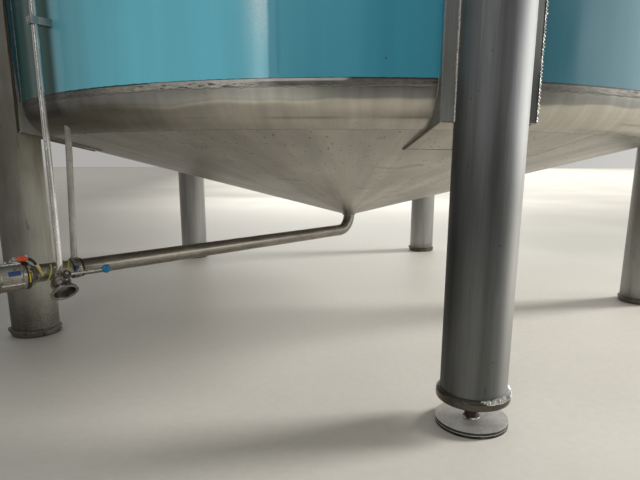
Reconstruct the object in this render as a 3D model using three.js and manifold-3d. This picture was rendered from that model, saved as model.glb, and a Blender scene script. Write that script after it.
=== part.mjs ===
// Vertical storage tank on five tubular legs: cone-bottomed steel shell, painted courses, drain line.
// Millimetres, +Z up. The tank's axis is vertical and the floor is z = 0; the front leg stands towards -Y.
import * as THREE from "three";
import { mergeVertices } from "three/addons/utils/BufferGeometryUtils.js";
import Module from "manifold-3d";

const wasm = await Module();
wasm.setup();

// Shell
const SHELL_RADIUS = 1825;
const PLATE = 5;
const SEAM_HEIGHT = 1112;
const COURSE_HEIGHT = 1500;
const COURSES = 4;
const RING_SIDES = 60;

// Cone bottom and cone roof, each with a rolled knuckle
const KNUCKLE_RADIUS = 145;
const KNUCKLE_STEPS = 4;
const KNUCKLE_FLANGE = 3;
const BOTTOM_SLOPE = THREE.MathUtils.degToRad(14.8);
const ROOF_SLOPE = THREE.MathUtils.degToRad(12);
const ROOF_HEIGHT = SEAM_HEIGHT + COURSES * COURSE_HEIGHT;

// Gaps between pieces that are welded or bolted together
const WELD_GAP = 0.4;
const SEAT_GAP = 0.3;

// Legs and their brackets
const LEG_COUNT = 5;
const LEG_CIRCLE = 1865;
const LEG_RADIUS = 109.55;
const LEG_SIDES = 28;
const FRONT_LEG_AZIMUTH = -Math.PI / 2;
const BRACKET_FACE = 1844;
const BRACKET_PLATE = 10;
const BRACKET_WIDTH = 320;
const BRACKET_DEPTH = 60;
const BRACKET_CLEARANCE = 1.5;
const BRACKET_BOTTOM = 985;
const BRACKET_TOP = SEAM_HEIGHT + 1000;
const GUSSET_TIP_RADIUS = 1510;
const GUSSET_TIP_DEPTH = 6;
const LEG_TOP = BRACKET_TOP - 90;
const LEG_TOP_SLOPE = 70;

// Leg ends: the front leg stands on a levelling foot, the others on their end plates
const END_PLATE_BOTTOMS = [92, 0, 0, 0, 0];
const FOOT_RADIUS = 115;
const PAD_RADIUS = 113;
const PAD_THICKNESS = 8;
const FOOT_THICKNESS = 20;
const SPINDLE_RADIUS = 23;
const SPINDLE_WELD = 4;
const END_PLATE_RADIUS = 117.5;
const END_PLATE_THICKNESS = 26;
const END_PLATE_EDGE = 4;
const END_PLATE_BEAD = 11;
const FOOT_SIDES = 24;

// Drain line, measured along its own direction from the tank's axis
const DRAIN_AZIMUTH = THREE.MathUtils.degToRad(217.3);
const DRAIN_HEIGHT = 425;
const DRAIN_RADIUS = 35;
const DRAIN_BEND = 95;
const DRAIN_END = 1945;
const DRAIN_SIDES = 20;
const BEND_STEPS = 6;
const LAP = 0.5;

// Pipe hanger
const HANGER_BOTTOM = 1790;
const HANGER_TOP = 1762;
const HANGER_RADIUS = 12.5;
const HANGER_REACH = 1040;
const CLAMP_RADIUS = 42;
const CLAMP_WIDTH = 30;

// Drain valve: outline as [radius, distance past the drain line's end]
const VALVE_OUTLINE = [
  [37, SEAT_GAP],
  [56, 23],
  [56, 28],
  [52, 28],
  [52, 36],
  [56, 36],
  [59, 40],
  [59, 151],
  [50, 159],
  [50, 180],
  [53, 182],
  [53, 189],
];
const VALVE_LENGTH = 189;
const VALVE_SIDES = 24;
const VALVE_BORE = 33;
const VALVE_BORE_DEPTH = 62;
const STEM_PLACE = 2013;
const STEM_RADIUS = 13;
const STEM_TOP = 491;
const STEM_SPIGOT = 14;
const STEM_SPIGOT_RADIUS = 6;
const LEVER_REST = THREE.MathUtils.degToRad(35);
const LEVER_WIDTH = 20;
const LEVER_PLATE = 6;
const LEVER_GRIP = 60;
const GRIP_OVER = 9;
const GRIP_ROUND = 3;
const LEVER_DROP_START = 72;
const LEVER_DROP_END = 100;
const LEVER_DROP = 58;

// Branch valve: it hangs from the drain line, forwards and down; outline as [radius, distance along it]
const BRANCH_PLACE = 1867;
const BRANCH_TILT = THREE.MathUtils.degToRad(47);
const BRANCH_OUTLINE = [
  [26, 0],
  [26, 44],
  [37, 50],
  [37, 84],
  [54, 103],
  [54, 110],
];
const BRANCH_MOUTH = 110;
const BRANCH_BORE = 42;
const BRANCH_BORE_END = 34;
const BRANCH_BORE_DEPTH = 27;
const BRANCH_STEM_PLACE = 72;
const BRANCH_STEM_RADIUS = 9;
const BRANCH_STEM_LENGTH = 68;
const HUB_RADIUS = 16;
const HUB_LENGTH = 18;
const ROD_RADIUS = 5.5;
const ROD_LENGTH = 145;
const KNOB_RADIUS = 18;
const KNOB_REACH = ROD_LENGTH + 14.4;

// Level tube and its clips
const TUBE_RADIUS = 11.5;
const TUBE_PLACE = 1877;
const TUBE_OFFSET = 73;
const TUBE_BEND = 28;
const TUBE_FOOT = DRAIN_HEIGHT + 14;
const TUBE_HEAD = ROOF_HEIGHT - 190;
const TUBE_ENTRY = 84;
const TUBE_SIDES = 12;
const CLIP_HEIGHTS = [1355, 2900, 4400, 5900];
const CLIP_HEIGHT = 26;
const CLIP_WIDTH = 34;
const CLIP_REACH = 20;
const CLIP_ROOT = 10;

// Roof fittings
const MANWAY_RADIUS = 250;
const MANWAY_SIDES = 30;
const MANWAY_RISE = 130;
const MANWAY_ROOT = 30;
const MANWAY_RIM = 270;
const MANWAY_RIM_THICKNESS = 10;
const LID_OUTLINE = [
  [0, 55],
  [135, 40],
  [230, 0],
  [MANWAY_RIM, 0],
  [MANWAY_RIM, 14],
  [235, 14],
  [135, 50],
  [0, 65],
];
const VENT_AZIMUTH = THREE.MathUtils.degToRad(60);
const VENT_PLACE = 800;
const VENT_OUTLINE = [
  [0, -40],
  [52, -40],
  [52, 206],
  [95, 188],
  [95, 206],
  [52, 227],
  [0, 230],
];
const VENT_SIDES = 24;
const LUG_AZIMUTHS = [30, 150, 270].map(THREE.MathUtils.degToRad);
const LUG_PLACE = 1560;
const LUG_WIDTH = 130;
const LUG_HEIGHT = 150;
const LUG_PLATE = 20;
const LUG_HOLE = 25;
const LUG_ROOT = 80;

const finish = {
  paint: { color: 0x4f95a3, roughness: 0.35, metalness: 0.0 },
  brushed: { color: 0xa7a49b, roughness: 0.42, metalness: 0.9 },
  rolled: { color: 0x8d8b84, roughness: 0.5, metalness: 0.9 },
  pipe: { color: 0x8f8f8c, roughness: 0.38, metalness: 0.95 },
  cast: { color: 0x9a9891, roughness: 0.55, metalness: 0.85 },
  orange: { color: 0xd24a1c, roughness: 0.5, metalness: 0.0 },
  clip: { color: 0xb9b9b5, roughness: 0.45, metalness: 0.8 },
};

// A closed solid from a geometry, with its faces turned outwards.
function solid(geometry) {
  const bare = geometry.index ? geometry.toNonIndexed() : geometry.clone();
  const points = new THREE.BufferGeometry();
  points.setAttribute("position", bare.getAttribute("position"));
  const merged = mergeVertices(points, 1e-4);
  const kept = [];
  const corner = merged.index.array;
  for (let i = 0; i < corner.length; i += 3) {
    const [a, b, c] = [corner[i], corner[i + 1], corner[i + 2]];
    if (a !== b && b !== c && c !== a) kept.push(a, b, c);
  }
  const vertProperties = merged.attributes.position.array;
  const make = (triVerts) => new wasm.Manifold(new wasm.Mesh({ numProp: 3, vertProperties, triVerts }));
  const made = make(new Uint32Array(kept));
  return made.volume() > 0 ? made : make(new Uint32Array(kept.reverse()));
}

// The triangles of a solid as a geometry with flat faces.
function geometryOf(made) {
  const mesh = made.getMesh();
  const position = new Float32Array(mesh.numVert * 3);
  for (let i = 0; i < mesh.numVert; i++) {
    position.set(mesh.vertProperties.subarray(i * mesh.numProp, i * mesh.numProp + 3), i * 3);
  }
  const indexed = new THREE.BufferGeometry();
  indexed.setAttribute("position", new THREE.BufferAttribute(position, 3));
  indexed.setIndex(new THREE.BufferAttribute(mesh.triVerts, 1));
  const flat = indexed.toNonIndexed();
  flat.computeVertexNormals();
  return flat;
}

// A named piece with a material of its own.
function piece(name, made, look) {
  const mesh = new THREE.Mesh(geometryOf(made), new THREE.MeshStandardMaterial(look));
  mesh.name = name;
  return mesh;
}

// A profile of [radius, height] pairs turned about the vertical axis.
function turned(profile, sides) {
  const points = profile.map(([radius, height]) => new THREE.Vector2(radius, height));
  points.push(points[0].clone());
  return new THREE.LatheGeometry(points, sides).rotateX(Math.PI / 2);
}

// A box between two opposite corners.
function block([x0, y0, z0], [x1, y1, z1]) {
  const box = new THREE.BoxGeometry(x1 - x0, y1 - y0, z1 - z0);
  return box.translate((x0 + x1) / 2, (y0 + y1) / 2, (z0 + z1) / 2);
}

// A round bar between two points.
function bar(from, to, radius, sides) {
  const a = new THREE.Vector3(...from);
  const b = new THREE.Vector3(...to);
  const along = b.clone().sub(a);
  const cylinder = new THREE.CylinderGeometry(radius, radius, along.length(), sides);
  const turn = new THREE.Quaternion().setFromUnitVectors(new THREE.Vector3(0, 1, 0), along.normalize());
  return cylinder.applyQuaternion(turn).translate(...a.add(b).multiplyScalar(0.5).toArray());
}

// A quarter bend of round bar: it leaves `from` towards `corner` and arrives at `to`.
function bend(from, corner, to, radius, sides) {
  const start = new THREE.Vector3(...from);
  const end = new THREE.Vector3(...to);
  const middle = start.clone().add(end).sub(new THREE.Vector3(...corner));
  class Quarter extends THREE.Curve {
    getPoint(t, target = new THREE.Vector3()) {
      const angle = (t * Math.PI) / 2;
      target.copy(middle);
      target.addScaledVector(start.clone().sub(middle), Math.cos(angle));
      return target.addScaledVector(end.clone().sub(middle), Math.sin(angle));
    }
  }
  const section = new THREE.Shape().absarc(0, 0, radius, 0, 2 * Math.PI);
  return new THREE.ExtrudeGeometry(section, {
    extrudePath: new Quarter(),
    steps: BEND_STEPS,
    curveSegments: sides / 2,
    bevelEnabled: false,
  });
}

const join = (...parts) => parts.map((part) => (part.add ? part : solid(part))).reduce((a, b) => a.add(b));

// Radius and height along a rolled knuckle and its cone, on the outside when offset is 0.
// `up` is 1 for the roof and -1 for the bottom.
function dishLine(up, base, slope, offset, hole) {
  const centreRadius = SHELL_RADIUS - KNUCKLE_RADIUS;
  const centreHeight = base + up * KNUCKLE_FLANGE;
  const reach = KNUCKLE_RADIUS + offset;
  const line = [[centreRadius + reach, base]];
  for (let i = 0; i <= KNUCKLE_STEPS; i++) {
    const angle = ((Math.PI / 2 - slope) * i) / KNUCKLE_STEPS;
    line.push([centreRadius + reach * Math.cos(angle), centreHeight + up * reach * Math.sin(angle)]);
  }
  const [tangentRadius, tangentHeight] = line[line.length - 1];
  line.push([hole, tangentHeight + up * (tangentRadius - hole) * Math.tan(slope)]);
  return line;
}

const bottomLine = (offset, hole) => dishLine(-1, SEAM_HEIGHT, BOTTOM_SLOPE, offset, hole);
const roofLine = (offset, hole) => dishLine(1, ROOF_HEIGHT, ROOF_SLOPE, offset, hole);
const bottomAt = (radius, offset = 0) => bottomLine(offset, radius).pop()[1];
const roofAt = (radius) => roofLine(0, radius).pop()[1];

// The space that the tank's outside fills, grown by a gap and turned by an angle.
function tankSpace(gap, turn) {
  const under = bottomLine(gap, 0).reverse();
  const over = roofLine(gap, 0);
  return solid(turned([...under, ...over], RING_SIDES).rotateZ(-turn));
}

// A dish in two pieces: the knuckle ring and the cone inside it.
function dish(name, line, hole, look) {
  const outer = line(0, hole);
  const inner = line(-PLATE, hole);
  const split = outer.length - 2;
  const knuckle = [...outer.slice(0, split + 1), ...inner.slice(0, split + 1).reverse()];
  const rootOf = ([[r0, z0], [r1, z1]]) => [r0 - SEAT_GAP, z0 + ((z1 - z0) * SEAT_GAP) / (r0 - r1)];
  const cone = [rootOf(outer.slice(split)), outer[split + 1], inner[split + 1], rootOf(inner.slice(split))];
  return [
    piece(`${name}_knuckle`, solid(turned(knuckle, RING_SIDES)), finish.rolled),
    piece(`${name}_cone`, solid(turned(cone, RING_SIDES)), look),
  ];
}

// Shell courses, one ring of plate above the other
function shellCourse(index) {
  const bottom = SEAM_HEIGHT + index * COURSE_HEIGHT;
  const ring = [
    [SHELL_RADIUS - PLATE, bottom],
    [SHELL_RADIUS, bottom],
    [SHELL_RADIUS, bottom + COURSE_HEIGHT],
    [SHELL_RADIUS - PLATE, bottom + COURSE_HEIGHT],
  ];
  return piece(`shell_course_${index + 1}`, solid(turned(ring, RING_SIDES)), finish.paint);
}

// Leg pipe: whole up to the bracket, then a half pipe on the bracket's face with a slanted head
function legPipe(name, plateBottom) {
  const bottom = plateBottom + END_PLATE_THICKNESS + SEAT_GAP;
  const whole = bar([0, 0, bottom], [0, 0, LEG_TOP], LEG_RADIUS, LEG_SIDES);
  const face = BRACKET_FACE + SEAT_GAP - LEG_CIRCLE;
  const wide = LEG_RADIUS * 2;
  const low = BRACKET_BOTTOM - BRACKET_CLEARANCE;
  const behind = block([-wide, -wide, low], [face, wide, LEG_TOP + BRACKET_CLEARANCE]);
  const head = block([-wide, -wide, 0], [wide * 2, wide, wide]);
  head.rotateY(Math.atan2(LEG_TOP_SLOPE, LEG_RADIUS)).translate(face, 0, LEG_TOP);
  return piece(name, solid(whole).subtract(solid(behind)).subtract(solid(head)), finish.pipe);
}

// Bracket: front plate, two side plates that run down along the cone to a tip, and a top plate
function legBracket(name, azimuth) {
  const outside = BRACKET_FACE - LEG_CIRCLE;
  const inside = outside - BRACKET_PLATE;
  const half = BRACKET_WIDTH / 2;
  const deep = outside - BRACKET_DEPTH;
  const tipHeight = bottomAt(GUSSET_TIP_RADIUS);
  const tip = GUSSET_TIP_RADIUS - LEG_CIRCLE;
  const side = new THREE.Shape([
    new THREE.Vector2(outside, BRACKET_BOTTOM),
    new THREE.Vector2(outside, BRACKET_TOP),
    new THREE.Vector2(deep, BRACKET_TOP),
    new THREE.Vector2(deep, SEAM_HEIGHT),
    new THREE.Vector2(tip, tipHeight + 2 * GUSSET_TIP_DEPTH),
    new THREE.Vector2(tip, tipHeight - GUSSET_TIP_DEPTH),
  ]);
  const front = block([inside, -half, BRACKET_BOTTOM], [outside, half, BRACKET_TOP]);
  const top = block([deep, -half, BRACKET_TOP - BRACKET_PLATE], [outside, half, BRACKET_TOP]);
  const cheeks = [-half, half - BRACKET_PLATE].map((at) => {
    const cheek = new THREE.ExtrudeGeometry(side, { depth: BRACKET_PLATE, bevelEnabled: false });
    return cheek.rotateX(Math.PI / 2).translate(0, at + BRACKET_PLATE, 0);
  });
  const space = tankSpace(WELD_GAP, azimuth).translate([-LEG_CIRCLE, 0, 0]);
  return piece(name, join(front, top, ...cheeks).subtract(space), finish.rolled);
}

// End plate under the leg pipe, with the weld bead that stands round the pipe
function endPlate(name, bottom) {
  const top = bottom + END_PLATE_THICKNESS;
  const lip = LEG_RADIUS + SEAT_GAP;
  const profile = [
    [0, bottom],
    [END_PLATE_RADIUS - END_PLATE_EDGE, bottom],
    [END_PLATE_RADIUS, bottom + END_PLATE_EDGE],
    [END_PLATE_RADIUS, top],
    [lip + END_PLATE_EDGE, top + END_PLATE_BEAD],
    [lip, top + END_PLATE_BEAD],
    [lip, top],
    [0, top],
  ];
  return piece(name, solid(turned(profile, LEG_SIDES)), finish.pipe);
}

// Levelling foot: disc on a thinner pad, and the spindle that carries the end plate
function foot(name, plateBottom) {
  const top = plateBottom - SEAT_GAP;
  const profile = [
    [0, 0],
    [PAD_RADIUS, 0],
    [PAD_RADIUS, PAD_THICKNESS],
    [FOOT_RADIUS, PAD_THICKNESS],
    [FOOT_RADIUS, FOOT_THICKNESS],
    [SPINDLE_RADIUS + SPINDLE_WELD, FOOT_THICKNESS],
    [SPINDLE_RADIUS, FOOT_THICKNESS + SPINDLE_WELD],
    [SPINDLE_RADIUS, top],
    [0, top],
  ];
  return piece(name, solid(turned(profile, FOOT_SIDES)), finish.rolled);
}

function leg(index) {
  const azimuth = FRONT_LEG_AZIMUTH + (index * 2 * Math.PI) / LEG_COUNT;
  const name = `leg_${index + 1}`;
  const place = new THREE.Group();
  place.rotation.z = azimuth;
  const stand = new THREE.Group();
  stand.position.x = LEG_CIRCLE;
  const plateBottom = END_PLATE_BOTTOMS[index];
  stand.add(legPipe(name, plateBottom), legBracket(`${name}_bracket`, azimuth));
  stand.add(endPlate(`${name}_end_plate`, plateBottom));
  if (plateBottom > 0) stand.add(foot(`${name}_foot`, plateBottom));
  place.add(stand);
  return place;
}

// Drain line: stub out of the cone, bend, and the level run out to the valve
function drainRun(from, to, radius) {
  return bar([from, 0, DRAIN_HEIGHT], [to, 0, DRAIN_HEIGHT], radius, DRAIN_SIDES);
}

function drainPipe() {
  const bendTop = DRAIN_HEIGHT + DRAIN_BEND;
  const outlet = bottomAt(DRAIN_RADIUS, -PLATE);
  const stub = bar([0, 0, bendTop - LAP], [0, 0, outlet], DRAIN_RADIUS, DRAIN_SIDES);
  const corner = [0, 0, DRAIN_HEIGHT];
  const elbow = bend([0, 0, bendTop], corner, [DRAIN_BEND, 0, DRAIN_HEIGHT], DRAIN_RADIUS, DRAIN_SIDES);
  const run = drainRun(DRAIN_BEND - LAP, DRAIN_END, DRAIN_RADIUS);
  return piece("drain_pipe", join(stub, elbow, run), finish.pipe);
}

// Hanger: a clamp round the drain line and a rod up to the knuckle
function pipeHanger() {
  const half = CLAMP_WIDTH / 2;
  const collar = drainRun(HANGER_BOTTOM - half, HANGER_BOTTOM + half, CLAMP_RADIUS);
  const rod = bar([HANGER_BOTTOM, 0, DRAIN_HEIGHT], [HANGER_TOP, 0, HANGER_REACH], HANGER_RADIUS, TUBE_SIDES);
  const bore = drainRun(HANGER_BOTTOM - CLAMP_WIDTH, HANGER_BOTTOM + CLAMP_WIDTH, DRAIN_RADIUS + SEAT_GAP);
  const made = join(collar, rod).subtract(solid(bore)).subtract(tankSpace(WELD_GAP, DRAIN_AZIMUTH));
  return piece("drain_hanger", made, finish.cast);
}

// Drain valve: reducer, clamp groove, round body with its stem, and the open outlet ferrule
function drainValve() {
  const bottom = VALVE_LENGTH - VALVE_BORE_DEPTH;
  const bore = [[VALVE_BORE, VALVE_LENGTH], [VALVE_BORE, bottom], [0, bottom]];
  const profile = [[0, SEAT_GAP], ...VALVE_OUTLINE, ...bore];
  const body = turned(profile, VALVE_SIDES).rotateY(Math.PI / 2).translate(DRAIN_END, 0, DRAIN_HEIGHT);
  const low = DRAIN_HEIGHT + VALVE_BORE;
  const boss = bar([STEM_PLACE, 0, low], [STEM_PLACE, 0, STEM_TOP], STEM_RADIUS, TUBE_SIDES);
  const top = STEM_TOP + STEM_SPIGOT;
  const spigot = bar([STEM_PLACE, 0, STEM_TOP - LAP], [STEM_PLACE, 0, top], STEM_SPIGOT_RADIUS, TUBE_SIDES);
  return piece("drain_valve_body", join(body, boss, spigot), finish.cast);
}

// Lever of the drain valve: a flat bar from the stem, with a grip, that bends down at its end
function drainLever() {
  const half = LEVER_PLATE / 2;
  const side = new THREE.Shape([
    new THREE.Vector2(-STEM_RADIUS, -half),
    new THREE.Vector2(LEVER_DROP_START, -half),
    new THREE.Vector2(LEVER_DROP_END, -LEVER_DROP),
    new THREE.Vector2(LEVER_DROP_END + LEVER_PLATE, -LEVER_DROP + half),
    new THREE.Vector2(LEVER_DROP_START + LEVER_PLATE, half),
    new THREE.Vector2(-STEM_RADIUS, half),
  ]);
  const strap = new THREE.ExtrudeGeometry(side, { depth: LEVER_WIDTH, bevelEnabled: false });
  strap.rotateX(Math.PI / 2).translate(0, LEVER_WIDTH / 2, 0);
  const wide = LEVER_WIDTH / 2 + GRIP_ROUND;
  const grip = block([STEM_RADIUS, -wide, -half - GRIP_ROUND], [LEVER_GRIP, wide, half + GRIP_OVER]);
  const eye = bar([0, 0, -LEVER_PLATE], [0, 0, LEVER_PLATE], STEM_SPIGOT_RADIUS + SEAT_GAP, TUBE_SIDES);
  const lever = piece("drain_valve_lever", join(strap, grip).subtract(solid(eye)), finish.orange);
  lever.rotation.z = Math.PI - LEVER_REST;
  lever.position.set(STEM_PLACE, 0, STEM_TOP + half + SEAT_GAP + GRIP_ROUND);
  return lever;
}

// Branch valve: neck, round body, bell mouth and stem, about an axis that points out of the drain line
function branchValve() {
  const bottom = BRANCH_MOUTH - BRANCH_BORE_DEPTH;
  const bore = [[BRANCH_BORE, BRANCH_MOUTH], [BRANCH_BORE_END, bottom], [0, bottom]];
  const body = turned([[0, 0], ...BRANCH_OUTLINE, ...bore], VALVE_SIDES);
  const tip = [BRANCH_STEM_LENGTH, 0, BRANCH_STEM_PLACE];
  const stem = bar([0, 0, BRANCH_STEM_PLACE], tip, BRANCH_STEM_RADIUS, TUBE_SIDES);
  const across = CLAMP_RADIUS * 2;
  const clear = (DRAIN_RADIUS + WELD_GAP) / Math.cos(Math.PI / DRAIN_SIDES);
  const pipe = bar([0, -across, 0], [0, across, 0], clear, DRAIN_SIDES);
  return piece("branch_valve_body", join(body, stem).subtract(solid(pipe)), finish.cast);
}

// Lever of the branch valve: ribbed hub, rod and ball knob
function branchLever() {
  const start = BRANCH_STEM_LENGTH + SEAT_GAP;
  const hub = bar([start, 0, 0], [start + HUB_LENGTH, 0, 0], HUB_RADIUS, 16);
  const middle = start + HUB_LENGTH / 2;
  const rod = bar([middle, 0, 0], [middle, -ROD_LENGTH, 0], ROD_RADIUS, TUBE_SIDES);
  const knob = new THREE.SphereGeometry(KNOB_RADIUS, 16, 10).translate(middle, -KNOB_REACH, 0);
  return piece("branch_valve_lever", join(hub, rod, knob), finish.cast);
}

function branch() {
  const place = new THREE.Group();
  place.position.set(BRANCH_PLACE, 0, DRAIN_HEIGHT);
  // Local +Z is the branch's axis, local +X is its stem and local +Y points out along the drain line.
  const axis = new THREE.Vector3(0, Math.cos(BRANCH_TILT), -Math.sin(BRANCH_TILT));
  const stem = new THREE.Vector3(0, Math.sin(BRANCH_TILT), Math.cos(BRANCH_TILT));
  const out = axis.clone().cross(stem);
  place.setRotationFromMatrix(new THREE.Matrix4().makeBasis(stem, out, axis));
  const lever = branchLever();
  lever.position.z = BRANCH_STEM_PLACE;
  place.add(branchValve(), lever);
  return place;
}

// Level tube beside the shell, with a bend out of the drain line below and one into the shell above
function levelTube() {
  const x = TUBE_PLACE;
  const y = TUBE_OFFSET;
  const low = TUBE_FOOT + TUBE_BEND;
  const high = TUBE_HEAD - TUBE_BEND;
  const inward = new THREE.Vector3(-x, -y, 0).normalize();
  const at = (distance, height) => [x + inward.x * distance, y + inward.y * distance, height];
  const side = [x, y - TUBE_BEND, TUBE_FOOT];
  const head = at(TUBE_BEND, TUBE_HEAD);
  const lower = join(
    bar([x, DRAIN_RADIUS - TUBE_RADIUS, TUBE_FOOT], [x, side[1] + LAP, TUBE_FOOT], TUBE_RADIUS, TUBE_SIDES),
    bend(side, [x, y, TUBE_FOOT], [x, y, low - SEAT_GAP], TUBE_RADIUS, TUBE_SIDES),
  );
  const upper = join(
    bend([x, y, high + SEAT_GAP], [x, y, TUBE_HEAD], head, TUBE_RADIUS, TUBE_SIDES),
    bar(at(TUBE_BEND - LAP, TUBE_HEAD), at(TUBE_ENTRY, TUBE_HEAD), TUBE_RADIUS, TUBE_SIDES),
  );
  const straight = solid(bar([x, y, low], [x, y, high], TUBE_RADIUS, TUBE_SIDES));
  const pipe = drainRun(x - CLAMP_RADIUS, x + CLAMP_RADIUS, DRAIN_RADIUS + WELD_GAP);
  return [
    piece("level_tube", straight, finish.pipe),
    piece("level_tube_lower_bend", lower.subtract(solid(pipe)), finish.pipe),
    piece("level_tube_upper_bend", upper.subtract(tankSpace(WELD_GAP, DRAIN_AZIMUTH)), finish.pipe),
  ];
}

// Clips that hold the level tube off the shell
function tubeClip(index) {
  const height = CLIP_HEIGHTS[index];
  const radius = Math.hypot(TUBE_PLACE, TUBE_OFFSET);
  const turn = Math.atan2(TUBE_OFFSET, TUBE_PLACE);
  const half = CLIP_WIDTH / 2;
  const low = height - CLIP_HEIGHT / 2;
  const arm = block([SHELL_RADIUS - CLIP_ROOT, -half, low], [radius + CLIP_REACH, half, low + CLIP_HEIGHT]);
  const high = low + CLIP_HEIGHT;
  const bore = bar([radius, 0, low - LAP], [radius, 0, high + LAP], TUBE_RADIUS + 2 * SEAT_GAP, TUBE_SIDES);
  const space = tankSpace(WELD_GAP, DRAIN_AZIMUTH + turn);
  const made = solid(arm).subtract(solid(bore)).subtract(space);
  const clip = piece(`level_tube_clip_${index + 1}`, made, finish.clip);
  clip.rotation.z = turn;
  return clip;
}

// Manway on the roof: neck with its rim, and the dished lid that lies on it
function manway() {
  const roof = roofAt(MANWAY_RADIUS);
  const top = roof + MANWAY_RISE;
  const outside = MANWAY_RADIUS - WELD_GAP;
  const neck = [
    [MANWAY_RADIUS - PLATE, roof - MANWAY_ROOT],
    [outside, roof - MANWAY_ROOT],
    [outside, top - MANWAY_RIM_THICKNESS],
    [MANWAY_RIM, top - MANWAY_RIM_THICKNESS],
    [MANWAY_RIM, top],
    [MANWAY_RADIUS - PLATE, top],
  ];
  const lid = LID_OUTLINE.map(([radius, height]) => [radius, top + SEAT_GAP + height]);
  return [
    piece("manway_neck", solid(turned(neck, MANWAY_SIDES)), finish.brushed),
    piece("manway_lid", solid(turned(lid, MANWAY_SIDES)), finish.brushed),
  ];
}

// Roof vent: stub pipe under a round cowl
function roofVent() {
  const roof = roofAt(VENT_PLACE);
  const profile = VENT_OUTLINE.map(([radius, height]) => [radius, roof + height]);
  const x = VENT_PLACE * Math.cos(VENT_AZIMUTH);
  const y = VENT_PLACE * Math.sin(VENT_AZIMUTH);
  const space = tankSpace(WELD_GAP, 0).translate([-x, -y, 0]);
  const vent = piece("roof_vent", solid(turned(profile, VENT_SIDES)).subtract(space), finish.brushed);
  vent.position.set(x, y, 0);
  return vent;
}

// Lifting lugs: upright plates on the roof with a round hole
function liftingLug(index) {
  const azimuth = LUG_AZIMUTHS[index];
  const half = LUG_WIDTH / 2;
  const root = roofAt(LUG_PLACE) - LUG_ROOT;
  const eye = roofAt(LUG_PLACE) + LUG_HEIGHT - half;
  const outline = new THREE.Shape();
  outline.moveTo(-half, root);
  outline.lineTo(half, root);
  outline.lineTo(half, eye);
  outline.absarc(0, eye, half, 0, Math.PI);
  outline.closePath();
  const hole = new THREE.Path().absarc(0, eye, LUG_HOLE, 0, 2 * Math.PI);
  outline.holes.push(hole);
  const plate = new THREE.ExtrudeGeometry(outline, { depth: LUG_PLATE, bevelEnabled: false, curveSegments: 8 });
  plate.rotateX(Math.PI / 2).translate(LUG_PLACE, LUG_PLATE / 2, 0);
  const made = solid(plate).subtract(tankSpace(WELD_GAP, azimuth));
  const lug = piece(`lifting_lug_${index + 1}`, made, finish.rolled);
  lug.rotation.z = azimuth;
  return lug;
}

const tank = new THREE.Group();
tank.add(...dish("bottom", bottomLine, DRAIN_RADIUS + WELD_GAP, finish.brushed));
for (let i = 0; i < COURSES; i++) tank.add(shellCourse(i));
tank.add(...dish("roof", roofLine, MANWAY_RADIUS, finish.brushed));
tank.add(...manway(), roofVent());
LUG_AZIMUTHS.forEach((azimuth, index) => tank.add(liftingLug(index)));
for (let i = 0; i < LEG_COUNT; i++) tank.add(leg(i));

const drain = new THREE.Group();
drain.rotation.z = DRAIN_AZIMUTH;
drain.add(drainPipe(), pipeHanger(), drainValve(), drainLever(), branch(), ...levelTube());
CLIP_HEIGHTS.forEach((height, index) => drain.add(tubeClip(index)));
tank.add(drain);

// The part's origin is on the floor under the middle of its box.
const box = new THREE.Box3().setFromObject(tank, true);
const middle = box.getCenter(new THREE.Vector3());
tank.position.set(-middle.x, -middle.y, 0);

const part = new THREE.Group();
part.name = "vertical_storage_tank";
part.add(tank);
export default part;
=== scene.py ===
import math

import bmesh
import bpy
import numpy as np
from mathutils import Matrix, Vector


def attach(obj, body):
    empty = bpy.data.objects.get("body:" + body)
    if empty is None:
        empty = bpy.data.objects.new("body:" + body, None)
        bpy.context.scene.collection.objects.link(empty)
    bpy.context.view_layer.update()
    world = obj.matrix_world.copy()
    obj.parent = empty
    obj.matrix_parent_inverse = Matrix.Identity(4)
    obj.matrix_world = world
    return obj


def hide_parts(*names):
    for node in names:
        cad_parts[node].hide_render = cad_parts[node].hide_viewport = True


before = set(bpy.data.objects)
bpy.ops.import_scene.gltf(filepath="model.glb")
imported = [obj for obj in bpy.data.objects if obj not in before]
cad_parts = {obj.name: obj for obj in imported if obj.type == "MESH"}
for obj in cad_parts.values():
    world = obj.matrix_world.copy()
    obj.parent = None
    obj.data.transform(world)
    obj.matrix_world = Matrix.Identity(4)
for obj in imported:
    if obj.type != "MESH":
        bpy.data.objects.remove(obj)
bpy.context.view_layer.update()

# Sizes in metres, about the tank's axis
AXIS_Y = 0.07875
SHELL = 1.825
PLATE = 0.005
SEAM = 1.112
COURSE = 1.5
COURSES = 4
PLATES_ROUND = 3
PLATES_TURN = 47
FILLET = (0.7, 0.7)
KNUCKLE = 0.145
FLANGE = 0.003
BOTTOM_SLOPE = math.radians(14.8)
ROOF_SLOPE = math.radians(12.0)
ROOF = SEAM + COURSES * COURSE

# Dishes: the way they point, the height of their edge and their slope
BOTTOM_DISH = (-1, SEAM, BOTTOM_SLOPE)
ROOF_DISH = (1, ROOF, ROOF_SLOPE)

LEG_CIRCLE = 1.865
LEG = 0.10955
LEG_AZIMUTHS = [math.radians(-90 + 72 * k) for k in range(5)]
END_PLATE_BOTTOMS = [0.092, 0, 0, 0, 0]
END_PLATES = [0.1225, 0.1160, 0.1160, 0.1160, 0.1160]
FOOT = 0.1215
SPINDLE = 0.023
THREAD_PITCH = 0.004
END_PLATE_THICKNESS = 0.026
BRACKET_FACE = 1.844 - LEG_CIRCLE
BRACKET_PLATE = 0.010
BRACKET_HALF = 0.160
BRACKET_BOTTOM = 0.985
BRACKET_TOP = 2.112
GUSSET_TIP = 1.510
FRONT_BRACKET_SHIFT = 0.007
LEG_TOP = 2.022
LEG_TOP_SLOPE = 0.070 / LEG

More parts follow.
